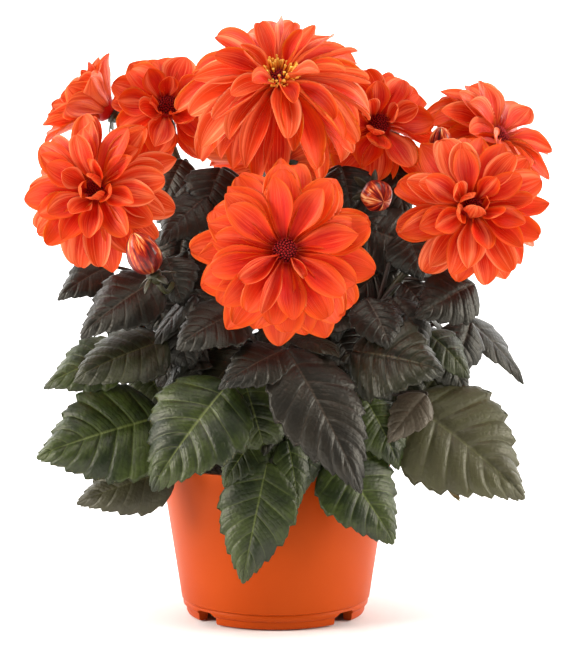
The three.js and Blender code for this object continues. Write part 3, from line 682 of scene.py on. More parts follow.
def ring_petals(bloom, level, ring):
    """One row for each petal of a ring: turn, length, half width, start, end, rise, roll, how far it closes
    at its root and along its length, depth, and eight chances. Rings are turned against each other."""
    count, length, half, start, end, rise = ring
    i = np.arange(count)

    def sway(k):
        return chance(bloom["seed"] * 10 + level, i * 7 + k) - 0.5

    turn = 2 * np.pi * (i + 0.37 * level + 0.3 * sway(1)) / count + bloom["seed"]
    columns = [
        turn,
        length * (1 + 0.14 * sway(2)) * (1 - bloom.get("lopsided", 0.0) * (1 + np.sin(turn))),
        half * (1.04 + 0.16 * sway(7)),
        np.radians(start + 5 * sway(3)),
        np.radians(end + 12 * sway(4)),
        rise * np.ones(count),
        np.radians(16 + 6 * sway(5)),
        1.25 + 0.3 * sway(6),
        bloom.get("channel", FOLDED) * np.ones(count),
        0.12 * level * np.ones(count),
    ]
    columns += [chance(bloom["seed"] + 3.3 * level, i * 5 + k) for k in range(8)]
    return np.stack(columns, axis=-1)


def petals_of(bloom):
    """The petals of every ring, and of a ring between each two, so that no gap shows between petals."""
    rings = [(float(level), ring) for level, ring in enumerate(bloom["rings"])]
    pairs = zip(bloom["rings"], bloom["rings"][1:])
    rings += [(level + 0.5, between(*pair)) for level, pair in enumerate(pairs)]
    petals = np.concatenate([ring_petals(bloom, level, ring) for level, ring in rings])
    for turn, closed, channel, *ring in bloom.get("extra", []):
        petals = np.concatenate([petals, ring_petals(bloom, 7.0, (1, *ring))])
        petals[-1, [0, 7, 8]] = np.radians(turn), closed, channel
    return petals


def between(ring, next_ring):
    """The ring halfway between two: the mean of their numbers, with a whole count."""
    count, length, half, *angles = [(a + b) / 2 for a, b in zip(ring, next_ring)]
    return (int(count), 0.98 * length, 0.94 * half, *angles)


print("petals of the top bloom:", len(petals_of(BLOOMS["top"])))

# %% [markdown]
# ## The button in the middle
# The middle of an open bloom is a dark maroon button, made of many tiny closed florets. They stand in the
# pattern of a sunflower: each one is turned by the golden angle from the last and sits a little further out.
# %% Disc finish and surfaces
disc_finish = Finish("disc_maroon", Roughness=0.6, Specular_IOR_Level=0.2)
grain = disc_finish.object_place().noise(900, 2)
height = disc_finish.attribute("place").axes()[0]
disc_colour = grain.ramp(0.35, 0.65).mix(rgb(48, 2, 6), rgb(112, 8, 16))
disc_finish.set("Base Color", height.ramp(0.5, 1.0).mix(disc_colour, rgb(160, 28, 30)))
floret_finish = Finish("floret_yellow", Roughness=0.5, Subsurface_Weight=0.1, Subsurface_Scale=0.001)
rising = floret_finish.attribute("place").axes()[0]
floret_stops = [(0.1, rgb(206, 60, 16)), (0.55, rgb(246, 150, 30)), (1.0, rgb(255, 206, 84))]
floret_finish.set("Base Color", rising.colours(floret_stops))
GOLDEN_ANGLE = np.pi * (3 - 5**0.5)
CORE_TOP = 1.5
PEG_SIDES = 6
PEG = ((0, 1), (0.5, 1.05), (0.85, 0.7), (1, 0.2))


def spikes(places, heading, radius, height, shape=PEG):
    """Small upright pegs: a ring of points at each height of the shape, which lists height and width."""
    levels = np.array(shape, float)
    foot, head = places[:, None], heading[:, None]
    path = foot + (height[:, None] * levels[:, 0])[..., None] * head
    widths = radius[:, None] * levels[:, 1]
    rings = tube(path, unit(head + 0 * path), np.array([0.3, 1.0, 0.2]), widths, PEG_SIDES)
    marks = np.zeros(rings.shape)
    marks[..., 0] = levels[None, :, None, 0]
    return rings, marks


def leaning(turn, lean):
    """The direction that leans out from upright by an angle, at a turn round the axis."""
    return unit(np.stack([np.sin(lean) * np.cos(turn), np.sin(lean) * np.sin(turn), np.cos(lean)], axis=-1))


def disc_florets(radius, count):
    """Florets of the button, on a low dome, at radius sqrt(i / n) and turned by the golden angle."""
    i = np.arange(count) + 0.5
    out = 0.93 * radius * np.sqrt(i / count)
    turn = i * GOLDEN_ANGLE
    lean = out / radius * 0.7
    dome = CORE_TOP + 2.2 - 2.4 * (out / radius) ** 2
    places = np.stack([out * np.cos(turn), out * np.sin(turn), dome - 1.4], axis=-1)
    return spikes(places, leaning(turn, lean), 0.075 * radius + 0.25 + 0 * i, 2.2 + 0.5 * chance(i, 3))


print("a button of", len(disc_florets(6.5, 90)[0]), "florets")

# %% [markdown]
# ## Building the blooms
# The petals, their core and the button are made flat, facing up, and are then turned to face the way that
# the bloom faces. The petals and the core are one piece and the button another, as on the plain model.
# %% Blooms in their places
BLOOM_CORE = [(0.1, -8), (4.5, -8), (7.4, -6), (8.0, -3), (7.6, 0), (6.0, 1.2), (0.1, 1.5)]
DISC_FLORETS = 70


def placed(rings, bloom):
    """The same points, turned so that the bloom's own up is the way it faces, and moved to its middle."""
    return rings @ facing_axes(bloom["azimuth"], bloom["elevation"]) + np.array(bloom["at"], float)


for name, bloom in BLOOMS.items():
    head = Growth("bloom_" + name)
    rings, marks, tints = petal_rings(petals_of(bloom))
    head.add(placed(rings, bloom), marks, tints)
    head.add(placed(turned(BLOOM_CORE), bloom), (0.0, 0, 0), (0.5, 1.0, 0.0))
    head.build([petal_finish.material], ["petals_" + name])
    button = Growth("button_" + name)
    radius = bloom["disc"]
    rings, marks = disc_florets(radius, DISC_FLORETS)
    button.add(placed(rings, bloom), marks, (0.5, 0.5, 0.5))
    base = turned([(0.1, -1.5), (radius, -1.5), (radius, 1.5), (0.5 * radius, 3.0), (0.1, 3.6)])
    button.add(placed(base, bloom), (0, 0, 0), (0.5, 0.5, 0.5))
    button.build([disc_finish.material], ["disc_" + name])

# %% [markdown]
# The top bloom has opened furthest: a ring of yellow-orange florets stands round its button.
# %% Yellow florets
FLORETS = 84
crown = Growth("florets")
i = np.arange(FLORETS)
out = 2.8 + 5.2 * np.sqrt(i / FLORETS) + 0.6 * (chance(i, 2) - 0.5)
turn = i * GOLDEN_ANGLE
lean = 0.1 + 0.08 * out + 0.35 * (chance(i, 5) - 0.3)
places = np.stack([out * np.cos(turn), out * np.sin(turn), 1.6 + 0 * out], axis=-1)
height = 3.4 + 0.35 * out + 3.0 * chance(i, 7)
split_tip = ((0, 0.7), (0.5, 0.8), (0.8, 1.1), (0.93, 1.5), (1, 0.8))
rings, marks = spikes(places, leaning(turn, lean), 0.66 + 0 * out, height, shape=split_tip)
crown.add(placed(rings, BLOOMS["top"]), marks, (0.5, 0.5, 0.5))
crown.build([floret_finish.material], ["florets_top"])

# %% [markdown]
# ## Leaves and stems
# The leaves are dark: green low on the plant and bronze towards the top, with a satin skin that is quilted
# between the veins, its creases darkened with painted shade. Pale veins run from the midrib to the point of
# each tooth. The mark on a leaf counts its veins, so the nearest whole number is the nearest vein, and four
# times the mark counts the small veins.
# %% Leaf and stem finishes
leaf_sheen = (1.0, 0.97, 0.86, 1.0)
leaf_finish = Finish("leaf_satin", Roughness=0.45, Specular_IOR_Level=0.44, Specular_Tint=leaf_sheen)
place = leaf_finish.attribute("place")
rank, across, face = place.axes()
bronze, pale = leaf_finish.attribute("tint").axes()[:2]
spot = leaf_finish.object_place()
side = abs(across)
near_vein = rank.nearness()
reach = 1 - side.ramp(0.6, 1.0)
vein = (1 - near_vein.ramp(0.0, 0.05)) * reach
veins = vein.math("MAXIMUM", vein * 0.4, 1 - side.ramp(0.0, 0.04))
wobble = spot.noise(130, 2)
near_small = (rank * 4 + wobble).nearness()
near_cross = (side * 6 + rank * 2 + wobble * 2).nearness()
quilt = near_small.ramp(0.0, 0.3) * 0.6 + near_cross.ramp(0.0, 0.3) * 0.4
patches = spot.noise(55, 4).ramp(0.35, 0.65)
green = patches.mix(rgb(24, 36, 10), rgb(56, 67, 26))
dark = patches.mix(rgb(10, 8, 5), rgb(27, 22, 15))
leaf_layers = [
    # painted shade: the creases along the small veins and the cross lines are darkened
    ((1 - quilt) * 0.45, rgb(8, 9, 5)),
    (veins * 0.6, bronze.mix(rgb(112, 122, 66), rgb(74, 62, 52))),
    (face.math("MAXIMUM", face * 0.85, pale * 0.9), bronze.mix(rgb(104, 102, 66), rgb(78, 68, 60))),
]
blade = layered(bronze.mix(green, dark), leaf_layers)
leaf_finish.set("Base Color", blade)
net = spot.node("ShaderNodeTexVoronoi", {"Vector": spot, "Scale": 260.0}, feature="DISTANCE_TO_EDGE")
bulge = near_vein.ramp(0.0, 0.14) * reach
skin = quilt * 0.35 + net.ramp(0.0, 0.3) * 0.25 + spot.noise(500, 3) * 0.2
leaf_finish.bump(bulge * 0.75 + skin, 0.0006, 0.55)
stem_finish = Finish("stem_green", Roughness=0.45, Specular_IOR_Level=0.4)
spot = stem_finish.object_place()
bronze = stem_finish.attribute("tint").axes()[0]
stalk_green = spot.noise(70, 3).ramp(0.35, 0.65).mix(rgb(40, 46, 22), rgb(62, 70, 34))
stem_finish.set("Base Color", bronze.mix(stalk_green, rgb(50, 38, 30)))
print("leaf nodes:", len(leaf_finish.tree.nodes))

# %% [markdown]
# A leaf's blade is a sheet over its midrib. Lines across it sweep forwards, as its side veins do, and end in
# the teeth of its edge. Between the veins the skin swells up, and the midrib lies in a valley.
# %% Leaf surfaces
LEAF_LONGER = 2.5
LEAF_WIDER = 1.06
RIGHT_HALF = np.array([0.06, 0.2, 0.42, 0.64, 0.82, 0.94, 1])
LEAF_ACROSS = np.concatenate([-RIGHT_HALF[::-1], [0], RIGHT_HALF])
VEIN_STEPS = np.array([0.0, 0.07, 0.2, 0.36, 0.5, 0.64, 0.8, 0.93])


def leaf_width(u):
    """The share of the half width: a power of a sine that peaks below the middle, narrower to the tip."""
    return np.sin(np.pi * np.clip(u, 0, 1) ** 0.68) ** 0.8 * (1 - 0.35 * u**3)


def crown_of(base, tip, face, arch):
    """The middle point of a midrib's curve: halfway, and pushed out by the arch towards the leaf's face."""
    chord = unit(tip - base)
    return (base + tip) / 2 + arch * unit(face - chord * (face @ chord))


def leaf_rings(base, tip, half, azimuth, elevation, arch, veins, seed):
    """Rings round a leaf's blade. Its midrib is a Bézier curve that is pushed out towards its face. A line
    across it is shifted forwards by 0.22 |v| 4s(1 - s), as a side vein is. It ends in a tooth: a saw wave
    with one rise for each vein and a smaller one with two. Between veins the skin swells by |sin(pi n)|."""
    face = towards(azimuth, elevation)
    crown = crown_of(base, tip, face, arch)
    s = np.concatenate([(np.arange(veins)[:, None] + VEIN_STEPS).ravel(), [veins - 0.004]]) / veins
    s = 0.004 + 0.992 * s[:, None]
    v = LEAF_ACROSS[None, :]
    rank = veins * s
    phase = np.stack([rank - np.floor(rank), 2 * rank - np.floor(2 * rank)])
    tooth = np.tensordot([0.72, 0.28], phase * (1 - smooth(0.75, 1.0, phase)), axes=1)
    tooth = tooth * smooth(0.0, 0.15, s) * (1 - smooth(0.9, 1.0, s))
    t = np.clip(s + 0.22 * np.abs(v) ** 1.05 * 4 * s * (1 - s), 0, 1)
    along = bezier_heading([base, crown, tip], t)
    normal = unit(face - along * (along @ face)[..., None])
    right = np.cross(along, normal)
    width = half * leaf_width(t)
    rim = np.abs(v) ** 9
    lateral = width * v * (1 + 0.18 * (tooth - 0.35) * rim)
    forward = 0.035 * np.linalg.norm(tip - base) * tooth * rim * (4 * s * (1 - s)) ** 0.5
    swell = np.abs(np.sin(np.pi * rank)) ** 0.6 * np.abs(v) ** 0.4 * (1 - np.abs(v) ** 4)
    valley = np.exp(-((v / 0.09) ** 2))
    ripple = np.sin(2 * np.pi * (1.3 * s + chance(seed, 1)) + 2.0 * v) * np.abs(v) ** 2
    puffed = (0.03 + 0.035 * smooth(26, 35, half)) * half * swell * np.sin(np.pi * s) ** 0.4
    lift = (1.0 + 0.12 * half) * (1 - np.abs(v) ** 2.2) + puffed
    lift = lift - 0.05 * half * valley + 0.075 * half * ripple
    taper = np.clip(width / (0.3 * half), 0, 1)
    top = bezier([base, crown, tip], t) + lateral[..., None] * right + forward[..., None] * along
    top = top + (lift * taper)[..., None] * normal
    rib = 0.35 + 0.9 * valley * (1 - 0.7 * s)
    underside = top - (rib * (1 - v**6) * taper)[..., None] * normal
    return two_faced(top, underside)[None], face_marks(rank, v)[None]


def veins_of(half):
    """Broad leaves have more side veins."""
    return 8 if half > 24 else 7 if half > 14 else 5


print("points round a leaf:", 2 * len(LEAF_ACROSS) - 2, "in", len(VEIN_STEPS) * veins_of(30) + 1, "rings")

# %% [markdown]
# A stem and a stalk are tubes along Bézier curves. The plain model bends its stems by the same rule, so the
# fine stem covers the plain one, and each stalk starts at a point that is read off its stem's curve.
# %% Stems, stalks and calyxes
STEM_RADIUS = 2.7
SHOOT_RADIUS = 1.7
STALK_RADII = (1.5, 0.9)
STRAIGHT_TOP = 92
SOIL_TOP = 88
CALYX_TOP = -8.3
CALYX_BACK = CALYX_TOP - 7 + 1


def stem_bend(name):
    """A stem rises straight out of the soil and then bends over to the back of its bloom."""
    bloom = BLOOMS[name]
    face = towards(bloom["azimuth"], bloom["elevation"])
    start = np.array([*FEET[name], STRAIGHT_TOP], float)
    end = np.array(bloom["at"], float) + CALYX_BACK * face
    span = np.linalg.norm(end - start)
    return [start, start + 0.45 * span * UP, end - 0.18 * span * face, end]


def stem_point(bend, height):
    """The point of a stem at a height, read off a fine table of its points."""
    points = bezier(bend, np.linspace(0, 1, 400))
    return points[np.argmax(points[:, 2] >= height)]


def add_stalk(growth, curve, radii, tints, steps=14):
    """A round stalk along a Bézier curve, thinner towards its end."""
    t = np.linspace(0, 1, steps)
    path = bezier(curve, t)
    heading = bezier_heading(curve, t)
    radius = radii[0] + (radii[1] - radii[0]) * t
    rings = tube(path, heading, np.array([0.35, 1.0, 0.15]), radius)
    growth.add(rings[None], (0, 0, 0), tints, 1)


def add_leaf(growth, root, leaf, tints, seed):
    """A leaf: its stalk bends from the stem into the line of the blade's midrib. The blade is a bit longer
    and wider than the plain model's, because its teeth are cut out of it."""
    base, tip, half, azimuth, elevation, arch = leaf
    base, tip = np.array(base, float), np.array(tip, float)
    crown = crown_of(base, tip, towards(azimuth, elevation), arch)
    elbow = base + unit(base - crown) * 0.15 * np.linalg.norm(base - root)
    add_stalk(growth, [root, elbow, base], STALK_RADII, tints)
    tip = tip + LEAF_LONGER * unit(tip - base)
    rings, marks = leaf_rings(base, tip, LEAF_WIDER * half, azimuth, elevation, arch, veins_of(half), seed)
    growth.add(rings, marks, tints, 0)


def add_calyx(growth, axes, middle, top, radius, sepal, tints):
    """The green cup with pointed sepals that carries a bloom or a bud."""
    cup = turned([(0.1, top - 7), (0.5 * radius, top - 6.6), (radius, top - 2), (radius, top)], 16)
    growth.add(cup @ axes + middle, (0, 0, 0), tints, 1)
    outwards, sideways = spokes(2 * np.pi * np.arange(5)[:, None, None] / 5)
    u = np.linspace(0, 1, 7)[None, :, None]
    v = np.array([-1, -0.5, 0, 0.5, 1])[None, None, :]
    out = (0.6 * radius + (0.4 * radius + sepal) * u)[..., None]
    down = (top - 1.4 - 0.6 * sepal * u**1.6 - 0.4 * v**2)[..., None]
    width = (0.32 * sepal * np.sin(np.pi * (0.12 + 0.86 * u)) ** 0.8 * v)[..., None]
    upper = out * outwards + width * sideways + down * UP
    lower = upper - (0.6 * (1 - v**4) * (1 - 0.6 * u))[..., None] * UP
    growth.add(two_faced(upper, lower) @ axes + middle, (0, 0.5, 0), tints, 1)


def add_shoot(growth, bend, bud, tints):
    """The side shoot of a bud: a curve from the stem into the back of the bud, and its green cup."""
    radius, length = bud["size"]
    facing = towards(*bud["facing"])
    cup_top = -length / 2 - 0.3
    root = stem_point(bend, bud["at"])
    middle = np.array(bud["middle"], float)
    end = middle + (cup_top - 6) * facing
    span = np.linalg.norm(end - root)
    curve = [root, root + 0.4 * span * UP, end - 0.4 * span * facing, end]
    add_stalk(growth, curve, (SHOOT_RADIUS, 1.5), tints, steps=20)
    add_calyx(growth, facing_axes(*bud["facing"]), middle, cup_top, 0.5 * radius, 0.9 * radius, tints)


print("the top stem is", round(stem_bend("top")[-1][2] - SOIL_TOP), "mm high above the soil")

# %% [markdown]
# The colour of a leaf follows its height: the lower leaves are green, the upper ones bronze. A few break the
# rule, as on the real plant: one low leaf is bronze, a higher one is green, and two show their pale backs.
# Each exception gives its share of bronze and of paleness.
# %% Leaf colours and the leaves that follow a rule
TONES = {
    ("left", 2): (0.1, 0.0),
    ("left", 3): (0.7, 0.05),
    ("left", 5): (0.7, 0.35),
    ("front", 1): (0.15, 0.0),
    ("front", 4): (1.0, 0.05),
    ("right", 1): (0.85, 0.0),
    ("right", 4): (0.5, 0.5),
    ("right", 6): (0.9, 1.0),
    ("right", 8): (0.5, 0.0),
}


def leaf_tint(name, k, height, seed):
    """Bronze share, paleness and chance for a leaf whose blade is at a height."""
    own = float(chance(seed, 4))
    bronze, pale = TONES.get((name, k), (smooth(120, 160, height + 20 * (own - 0.5)), 0.0))
    return (float(bronze), pale, own)


def side_leaf(root, azimuth, tier):
    """The base and tip of a leaf of the sides or the back, from its azimuth and tier."""
    at, rise, reach, length, half, droop = TIERS[tier]
    base = root + reach * towards(azimuth, 0) + rise * UP
    tip = base + length * towards(azimuth, -droop)
    return (base, tip, half, azimuth, 90 - droop, 7)


def inner_leaf(root, azimuth, seed):
    """A small dark leaf of the plant's inside, near its stem."""
    base = root + 9 * towards(azimuth, 0) + (6 + 4 * chance(seed, 2)) * UP
    droop = 5 + 40 * chance(seed, 3)
    tip = base + (34 + 10 * chance(seed, 5)) * towards(azimuth, -droop)
    return (base, tip, 14, azimuth, 90 - droop, 4)


print("a leaf at 150 mm is bronze, pale and of chance:", leaf_tint("back", 0, 150, 3))

# %% [markdown]
# Each stem is one piece with everything green that grows on it. Its leaves come in four groups: the front
# leaves of the lists, the leaves of the tiers, the ones behind them, and a spiral of small dark ones up the
# stem, which keeps the plant dense where a look between the leaves would show bare stems.
# %% Leafy stems
STEM_TINT = (0.5, 0.0, 0.5)
INNER_TINT = (0.9, 0.0, 0.5)
SPIRAL_TURN = 137.5
for number, name in enumerate(BLOOMS):
    plant = Growth("leafy_stem_" + name)
    bloom = BLOOMS[name]
    bend = stem_bend(name)
    foot = np.array([*FEET[name], SOIL_TOP - 18], float)
    straight = [foot, foot + 8 * UP, bend[0] - 8 * UP, bend[0]]
    add_stalk(plant, straight, (STEM_RADIUS, STEM_RADIUS), STEM_TINT, steps=4)
    add_stalk(plant, bend, (STEM_RADIUS, 2.3), STEM_TINT, steps=40)
    axes = facing_axes(bloom["azimuth"], bloom["elevation"])
    add_calyx(plant, axes, np.array(bloom["at"], float), CALYX_TOP, 5.5, 9, STEM_TINT)
    leaves = [(leaf[0], leaf[1:]) for leaf in LEAVES.get(name, [])]
    for azimuth, tier in SIDE_LEAVES.get(name, []):
        at = TIERS[tier][0]
        leaves.append((at, side_leaf(stem_point(bend, at), azimuth, tier)))
    for k, (at, leaf) in enumerate(leaves):
        seed = 20 * number + k
        tone = leaf_tint(name, k, 0.5 * (leaf[0][2] + leaf[1][2]), seed)
        add_leaf(plant, stem_point(bend, at), leaf, tone, seed)
    for k, (at, *leaf) in enumerate(INSIDE_LEAVES.get(name, [])):
        tone = leaf_tint("inside", k, 0.5 * (leaf[0][2] + leaf[1][2]), 20 * number + k)
        add_leaf(plant, stem_point(bend, at), leaf, tone, 20 * number + k)
    for k, at in enumerate(range(102, int(bloom["at"][2]) - 60, 12)):
        root = stem_point(bend, at)
        leaf = inner_leaf(root, SPIRAL_TURN * k + 70 * number, 20 * number + k)
        add_leaf(plant, root, leaf, INNER_TINT, 40 * number + k)
    for bud in BUDS.values():
        if bud["stem"] == name:
            add_shoot(plant, bend, bud, STEM_TINT)
    plant.build([leaf_finish.material, stem_finish.material], ["stem_" + name])

# %% [markdown]
# ## Buds
# A bud is a tight egg of folded petals, glossy, with streaks of cream, salmon and maroon. Its mark is a
# point on a unit circle and the height, so noise over it has no seam where the turn closes.
# %% Bud finish
bud_finish = Finish(
    "bud_striped",
    Roughness=0.5,
    Specular_IOR_Level=0.2,
    Coat_Weight=0.35,
    Coat_Roughness=0.1,
    Coat_Tint=(1.0, 0.8, 0.6, 1.0),
)
place = bud_finish.attribute("place")
streak = place.stretched(2.4, 2.4, 0.5).noise(1.0, 3, 0.6)
bud_stops = [(0.4, rgb(70, 8, 10)), (0.5, rgb(146, 22, 14))]
bud_stops += [(0.57, rgb(206, 84, 34)), (0.65, rgb(248, 196, 132))]
foot = 1 - place.axes()[2].ramp(-1.3, 0.6)
bud_finish.set("Base Color", (foot * 0.7).mix(streak.colours(bud_stops), rgb(70, 12, 8)))
bud_finish.bump(streak, 0.0008, 0.6)
print("bud nodes:", len(bud_finish.tree.nodes))

# %% [markdown]
# The egg is a sphere's outline, sin and cos of an angle, that is wider below its middle. Five low lobes wind
# round it, where the folded petals lie over each other.
# %% Buds
for name, bud in BUDS.items():
    radius, length = bud["size"]
    angle = np.pi * np.linspace(0.04, 0.96, 18)[:, None]
    turn = 2 * np.pi * np.arange(32) / 32
    lobes = 1.08 + 0.035 * np.cos(5 * turn + 2.2 * angle) * np.sin(angle)
    out = radius * np.sin(angle) * (1 + 0.18 * np.cos(angle)) * lobes
    height = -0.5 * length * np.cos(angle)
    circle = spokes(turn)[0]
    rings = (out[..., None] * circle + height[..., None] * UP)[None]
    marks = (circle + (height / radius)[..., None] * UP)[None]
    egg = Growth("bud_" + name + "_petals")
    egg.add(rings @ facing_axes(*bud["facing"]) + np.array(bud["middle"], float), marks, (0.5, 0.5, 0.5))
    egg.build([bud_finish.material], ["bud_" + name])

# %% [markdown]
# ## Pot and soil
# The pot is one moulding of satin orange plastic: a tapered wall on a foot that is set in and has four drain
# notches. It is a turned body, so its outline is a list of radii and heights; the notches and the drain
# holes are cut out of it afterwards with a Boolean modifier.
# %% Pot
pot_sheen = (1.0, 0.62, 0.4, 1.0)
pot_finish = Finish("pot_plastic", Roughness=0.45, IOR=1.34, Specular_IOR_Level=0.3, Specular_Tint=pot_sheen)
spot = pot_finish.object_place()
pot_finish.set("Base Color", spot.noise(14, 2).ramp(0.3, 0.7).mix(rgb(166, 62, 17), rgb(174, 68, 21)))
pot_finish.bump(spot.noise(1400, 2), 0.00012, 0.35)
POT_HEIGHT = 94
POT_WALL = 1.8
POT_FLOOR = 8
RIM_RADIUS = 69.8
WALL_START_RADIUS = 56.9
FOOT_HEIGHT = 10


def pot_radius(height):
    """The wall's outer radius, which grows evenly from the foot to the rim."""
    slope = (RIM_RADIUS - WALL_START_RADIUS) / (POT_HEIGHT - FOOT_HEIGHT)
    return WALL_START_RADIUS + (height - FOOT_HEIGHT) * slope


inner_floor = pot_radius(POT_FLOOR) - POT_WALL
pot_outline = [(0.2, 0), (20, 0), (21, 4.5), (47, 4.5), (48, 0), (52, 0)]
pot_outline += [(53.3, 0.5), (53.9, 1.6), (54.1, 4.6)]
pot_outline += [(55.2, 5.3), (55.9, 6.2), (56.1, 7.4), (55.9, 8.6), (55.5, 9.1), (56.4, 9.6), (56.9, 10.0)]
pot_outline += [(69.75, 93.2), (69.5, 93.8), (69.0, 94), (68.5, 94), (68.1, 93.7), (67.95, 93)]
pot_outline += [(pot_radius(11) - POT_WALL, 11), (inner_floor - 3, POT_FLOOR), (0.2, POT_FLOOR)]
print("the pot's wall is", round(2 * pot_radius(50), 1), "mm across at half its height")

# %% [markdown]
# The notches are arches that cut through the edge of the foot, and the drain holes are round. Each cutter is
# a small closed body that is thrown away once the Boolean modifiers are applied.
# %% The moulded pot
NOTCH_ANGLES = (49, 131, -131, -49)
DRAIN_RING = 37
DRAIN_RADIUS = 4.5


def plain_object(name, rings):
    """An object made of one sleeve, for cutting or for finishing with modifiers."""
    length, around, _ = rings.shape
    faces = faces_between(length, around).tolist()
    faces += [list(range(around - 1, -1, -1)), list(range((length - 1) * around, length * around))]
    mesh = bpy.data.meshes.new(name)
    mesh.from_pydata((rings.reshape(-1, 3) * MM).tolist(), [], faces)
    mesh.update()
    made = bpy.data.objects.new(name, mesh)
    bpy.context.scene.collection.objects.link(made)
    return made


def arch_rings(middle, outwards, depth, half_width, height, rounding):
    """Two rings of an arched opening, from below the floor up to its height, with rounded upper corners."""
    corner = np.pi / 2 * np.linspace(0, 1, 6)
    side = half_width - rounding * (1 - np.cos(corner))
    rise = height - rounding * (1 - np.sin(corner))
    across = np.concatenate([[half_width], side, -side[::-1], [-half_width]])
    up = np.concatenate([[-height], rise, rise[::-1], [-height]])
    shape = across[:, None] * np.cross(UP, outwards) + up[:, None] * UP
    return np.stack([shape + (middle + level * depth) * outwards for level in (-1, 1)])


pot = plain_object("pot_moulding", turned(pot_outline, 128)[0])
cutters = []
for angle in NOTCH_ANGLES:
    outwards = towards(angle, 0.0)
    cutters.append(plain_object("notch", arch_rings(52, outwards, 7, 8, 7.5, 4)))
    hole = turned([(DRAIN_RADIUS, POT_FLOOR - 5), (DRAIN_RADIUS, POT_FLOOR + 5)])[0] + DRAIN_RING * outwards
    cutters.append(plain_object("drain", hole))
for cutter in cutters:
    cut = pot.modifiers.new("cut", "BOOLEAN")
    cut.operation, cut.solver, cut.object = "DIFFERENCE", "EXACT", cutter
bpy.context.view_layer.update()
moulded = bpy.data.meshes.new_from_object(pot.evaluated_get(bpy.context.evaluated_depsgraph_get()))
pot.modifiers.clear()
pot.data = moulded
for cutter in cutters:
    bpy.data.objects.remove(cutter)
moulded.materials.append(pot_finish.material)
moulded.polygons.foreach_set("use_smooth", np.ones(len(moulded.polygons), bool))
moulded.set_sharp_from_angle(angle=np.radians(35))
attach(pot, "root")
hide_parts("pot")
print("pot faces:", len(moulded.polygons))

# %% [markdown]
# The soil is seen only between the leaves. It is a shallow turned plug whose top is pushed up and down in
# lumps of two sizes: products of sines whose phases are themselves bent by sines, so that no row repeats.
# Finer grains are left to the shading.
# %% Soil
soil_finish = Finish("soil_crumbs", Roughness=0.95)
spot = soil_finish.object_place()
crumbs = spot.noise(260, 5, 0.7)
soil_colour = crumbs.colours([(0.3, rgb(30, 20, 14)), (0.5, rgb(74, 52, 36)), (0.72, rgb(140, 108, 78))])
soil_finish.set("Base Color", soil_colour)
soil_finish.bump(crumbs, 0.004, 1.0)
SOIL_AROUND = 120
SOIL_RADIUS = 66
out = np.linspace(1, SOIL_RADIUS, 56)[::-1, None]
angle = 2 * np.pi * np.arange(SOIL_AROUND) / SOIL_AROUND
x, y = out * np.cos(angle), out * np.sin(angle)
lumps = np.sin(0.9 * x + 1.7 * np.sin(0.7 * y)) * np.sin(1.1 * y + 1.3 * np.sin(0.8 * x + 2))
lumps = lumps + 0.6 * np.sin(2.3 * x + 2.0 * y + np.sin(1.9 * y)) * np.sin(2.1 * y - 1.4 * x)
level = SOIL_TOP - 2 * smooth(42, SOIL_RADIUS, out) + 0.55 * lumps
top = np.stack([x, y, level], axis=-1)
skirt = turned([(0.5, 80), (SOIL_RADIUS, 80)], SOIL_AROUND)[0]
soil = Growth("soil_plug")
soil.add(np.concatenate([skirt, top])[None], (0, 0, 0), (0.5, 0.5, 0.5))
soil.build([soil_finish.material], ["soil"])

# %% [markdown]
# ## Studio
# A pale floor runs out from under the plant and rises behind it in one bowl, so that no line shows there. It
# glows a little as painted light, but the glow fades out round the pot into a painted shadow, where the
# drain notches should stay dark.
# %% Floor
paper = (0.92, 0.92, 0.92, 1.0)
floor_finish = Finish("pale_floor", Roughness=0.9, Base_Color=paper, Emission_Strength=0.25)
spot = floor_finish.object_place()
distance = spot.node("ShaderNodeVectorMath", {0: spot}, output=1, operation="LENGTH")
# painted light: the floor glows, but the glow fades to black round the pot into a painted shadow
painted_glow_and_shadow = distance.ramp(0.05, 0.13)
floor_finish.set("Emission Color", painted_glow_and_shadow.mix((0, 0, 0, 1), (1, 1, 1, 1)))
SWEEP = [(3.1, 4.5), (3.07, 0.8), (3.0, 0.45), (2.85, 0.2), (2.6, 0.05), (2.3, 0), (1.2, 0), (0.01, 0)]
STEPS = 96
far_out, risen = np.array(SWEEP).T[..., None]
circle = spokes(2 * np.pi * np.arange(STEPS) / STEPS)[0]
behind = smooth(-0.75, -0.25, circle[:, 1])
reach = far_out + (1 - behind) * 4 * smooth(1.2, 3.1, far_out)
points = reach[..., None] * circle + (risen * behind - 0.0005)[..., None] * UP
sheet = bpy.data.meshes.new("floor")
sheet.from_pydata(points.reshape(-1, 3), [], faces_between(len(SWEEP), STEPS))
sheet.materials.append(floor_finish.material)
sheet.polygons.foreach_set("use_smooth", np.ones(len(sheet.polygons), bool))
floor = bpy.data.objects.new("floor", sheet)
bpy.context.scene.collection.objects.link(floor)
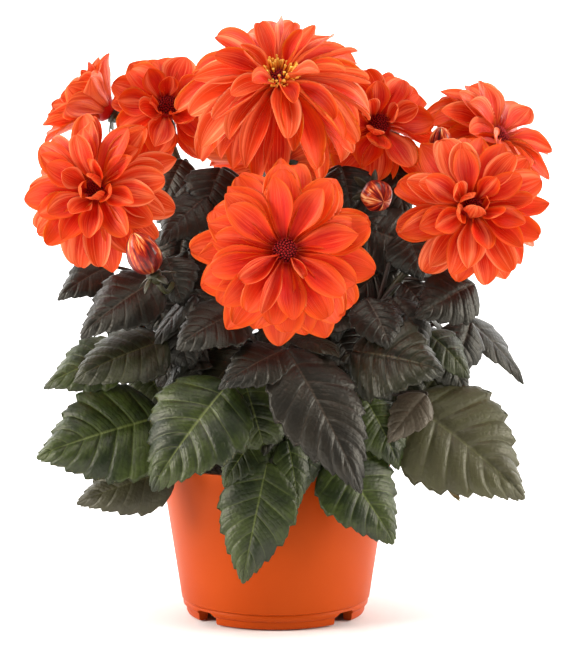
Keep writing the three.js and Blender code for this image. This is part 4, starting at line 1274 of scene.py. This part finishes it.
print("floor faces:", len(sheet.polygons))

# %% [markdown]
# Large soft lights stand to both sides and above, as for a catalogue picture. They are a little warm, which
# keeps the orange from turning pink. Two plain ones light the backdrop.
# %% Lights
WARM = (1.0, 0.955, 0.88)
PLAIN = (1.0, 1.0, 1.0)


def soft_light(name, position, target, size, power, colour):
    """A square area light at a position, turned so that it shines on the target."""
    lamp = bpy.data.lights.new(name, "AREA")
    lamp.shape, lamp.size, lamp.energy, lamp.color = "SQUARE", size, power, colour
    light = bpy.data.objects.new(name, lamp)
    light.location = position
    light.rotation_euler = Vector(np.subtract(position, target)).to_track_quat("Z", "Y").to_euler()
    bpy.context.scene.collection.objects.link(light)


soft_light("key_left", (-1.85, -0.6, 0.85), (0, 0, 0.15), 1.0, 50, WARM)
soft_light("fill_right", (1.95, -0.4, 0.75), (0, 0, 0.15), 1.0, 38, WARM)
soft_light("top", (0.0, -0.4, 2.2), (0, 0, 0.15), 1.3, 28, WARM)
soft_light("backdrop_left", (-1.6, 1.5, 1.5), (-0.3, 3.0, 0.3), 0.9, 42, PLAIN)
soft_light("backdrop_right", (1.6, 1.5, 1.5), (0.3, 3.0, 0.3), 0.9, 42, PLAIN)
world = bpy.data.worlds.new("studio")
bpy.context.scene.world = world
world.use_nodes = True
sky = world.node_tree.nodes["Background"].inputs
sky["Color"].default_value, sky["Strength"].default_value = (1, 1, 1, 1), 0.15
print("lights:", [light.name for light in bpy.data.lights])

# %% [markdown]
# A long lens from a little above the plant keeps its shape as the eye sees it from a few steps away. The
# plain view transform leaves the orange as strong as it is.
# %% Camera
lens = bpy.data.cameras.new("camera")
lens.lens, lens.sensor_width, lens.sensor_height = 147.3, 36, 36
camera = bpy.data.objects.new("camera", lens)
camera.location = (0.009, -1.6, 0.365)
camera.rotation_euler = (np.radians(83.15), 0, 0)
bpy.context.scene.collection.objects.link(camera)
bpy.context.scene.camera = camera
bpy.context.scene.view_settings.view_transform = "Standard"
print("camera at", [round(value, 3) for value in camera.location], "m")
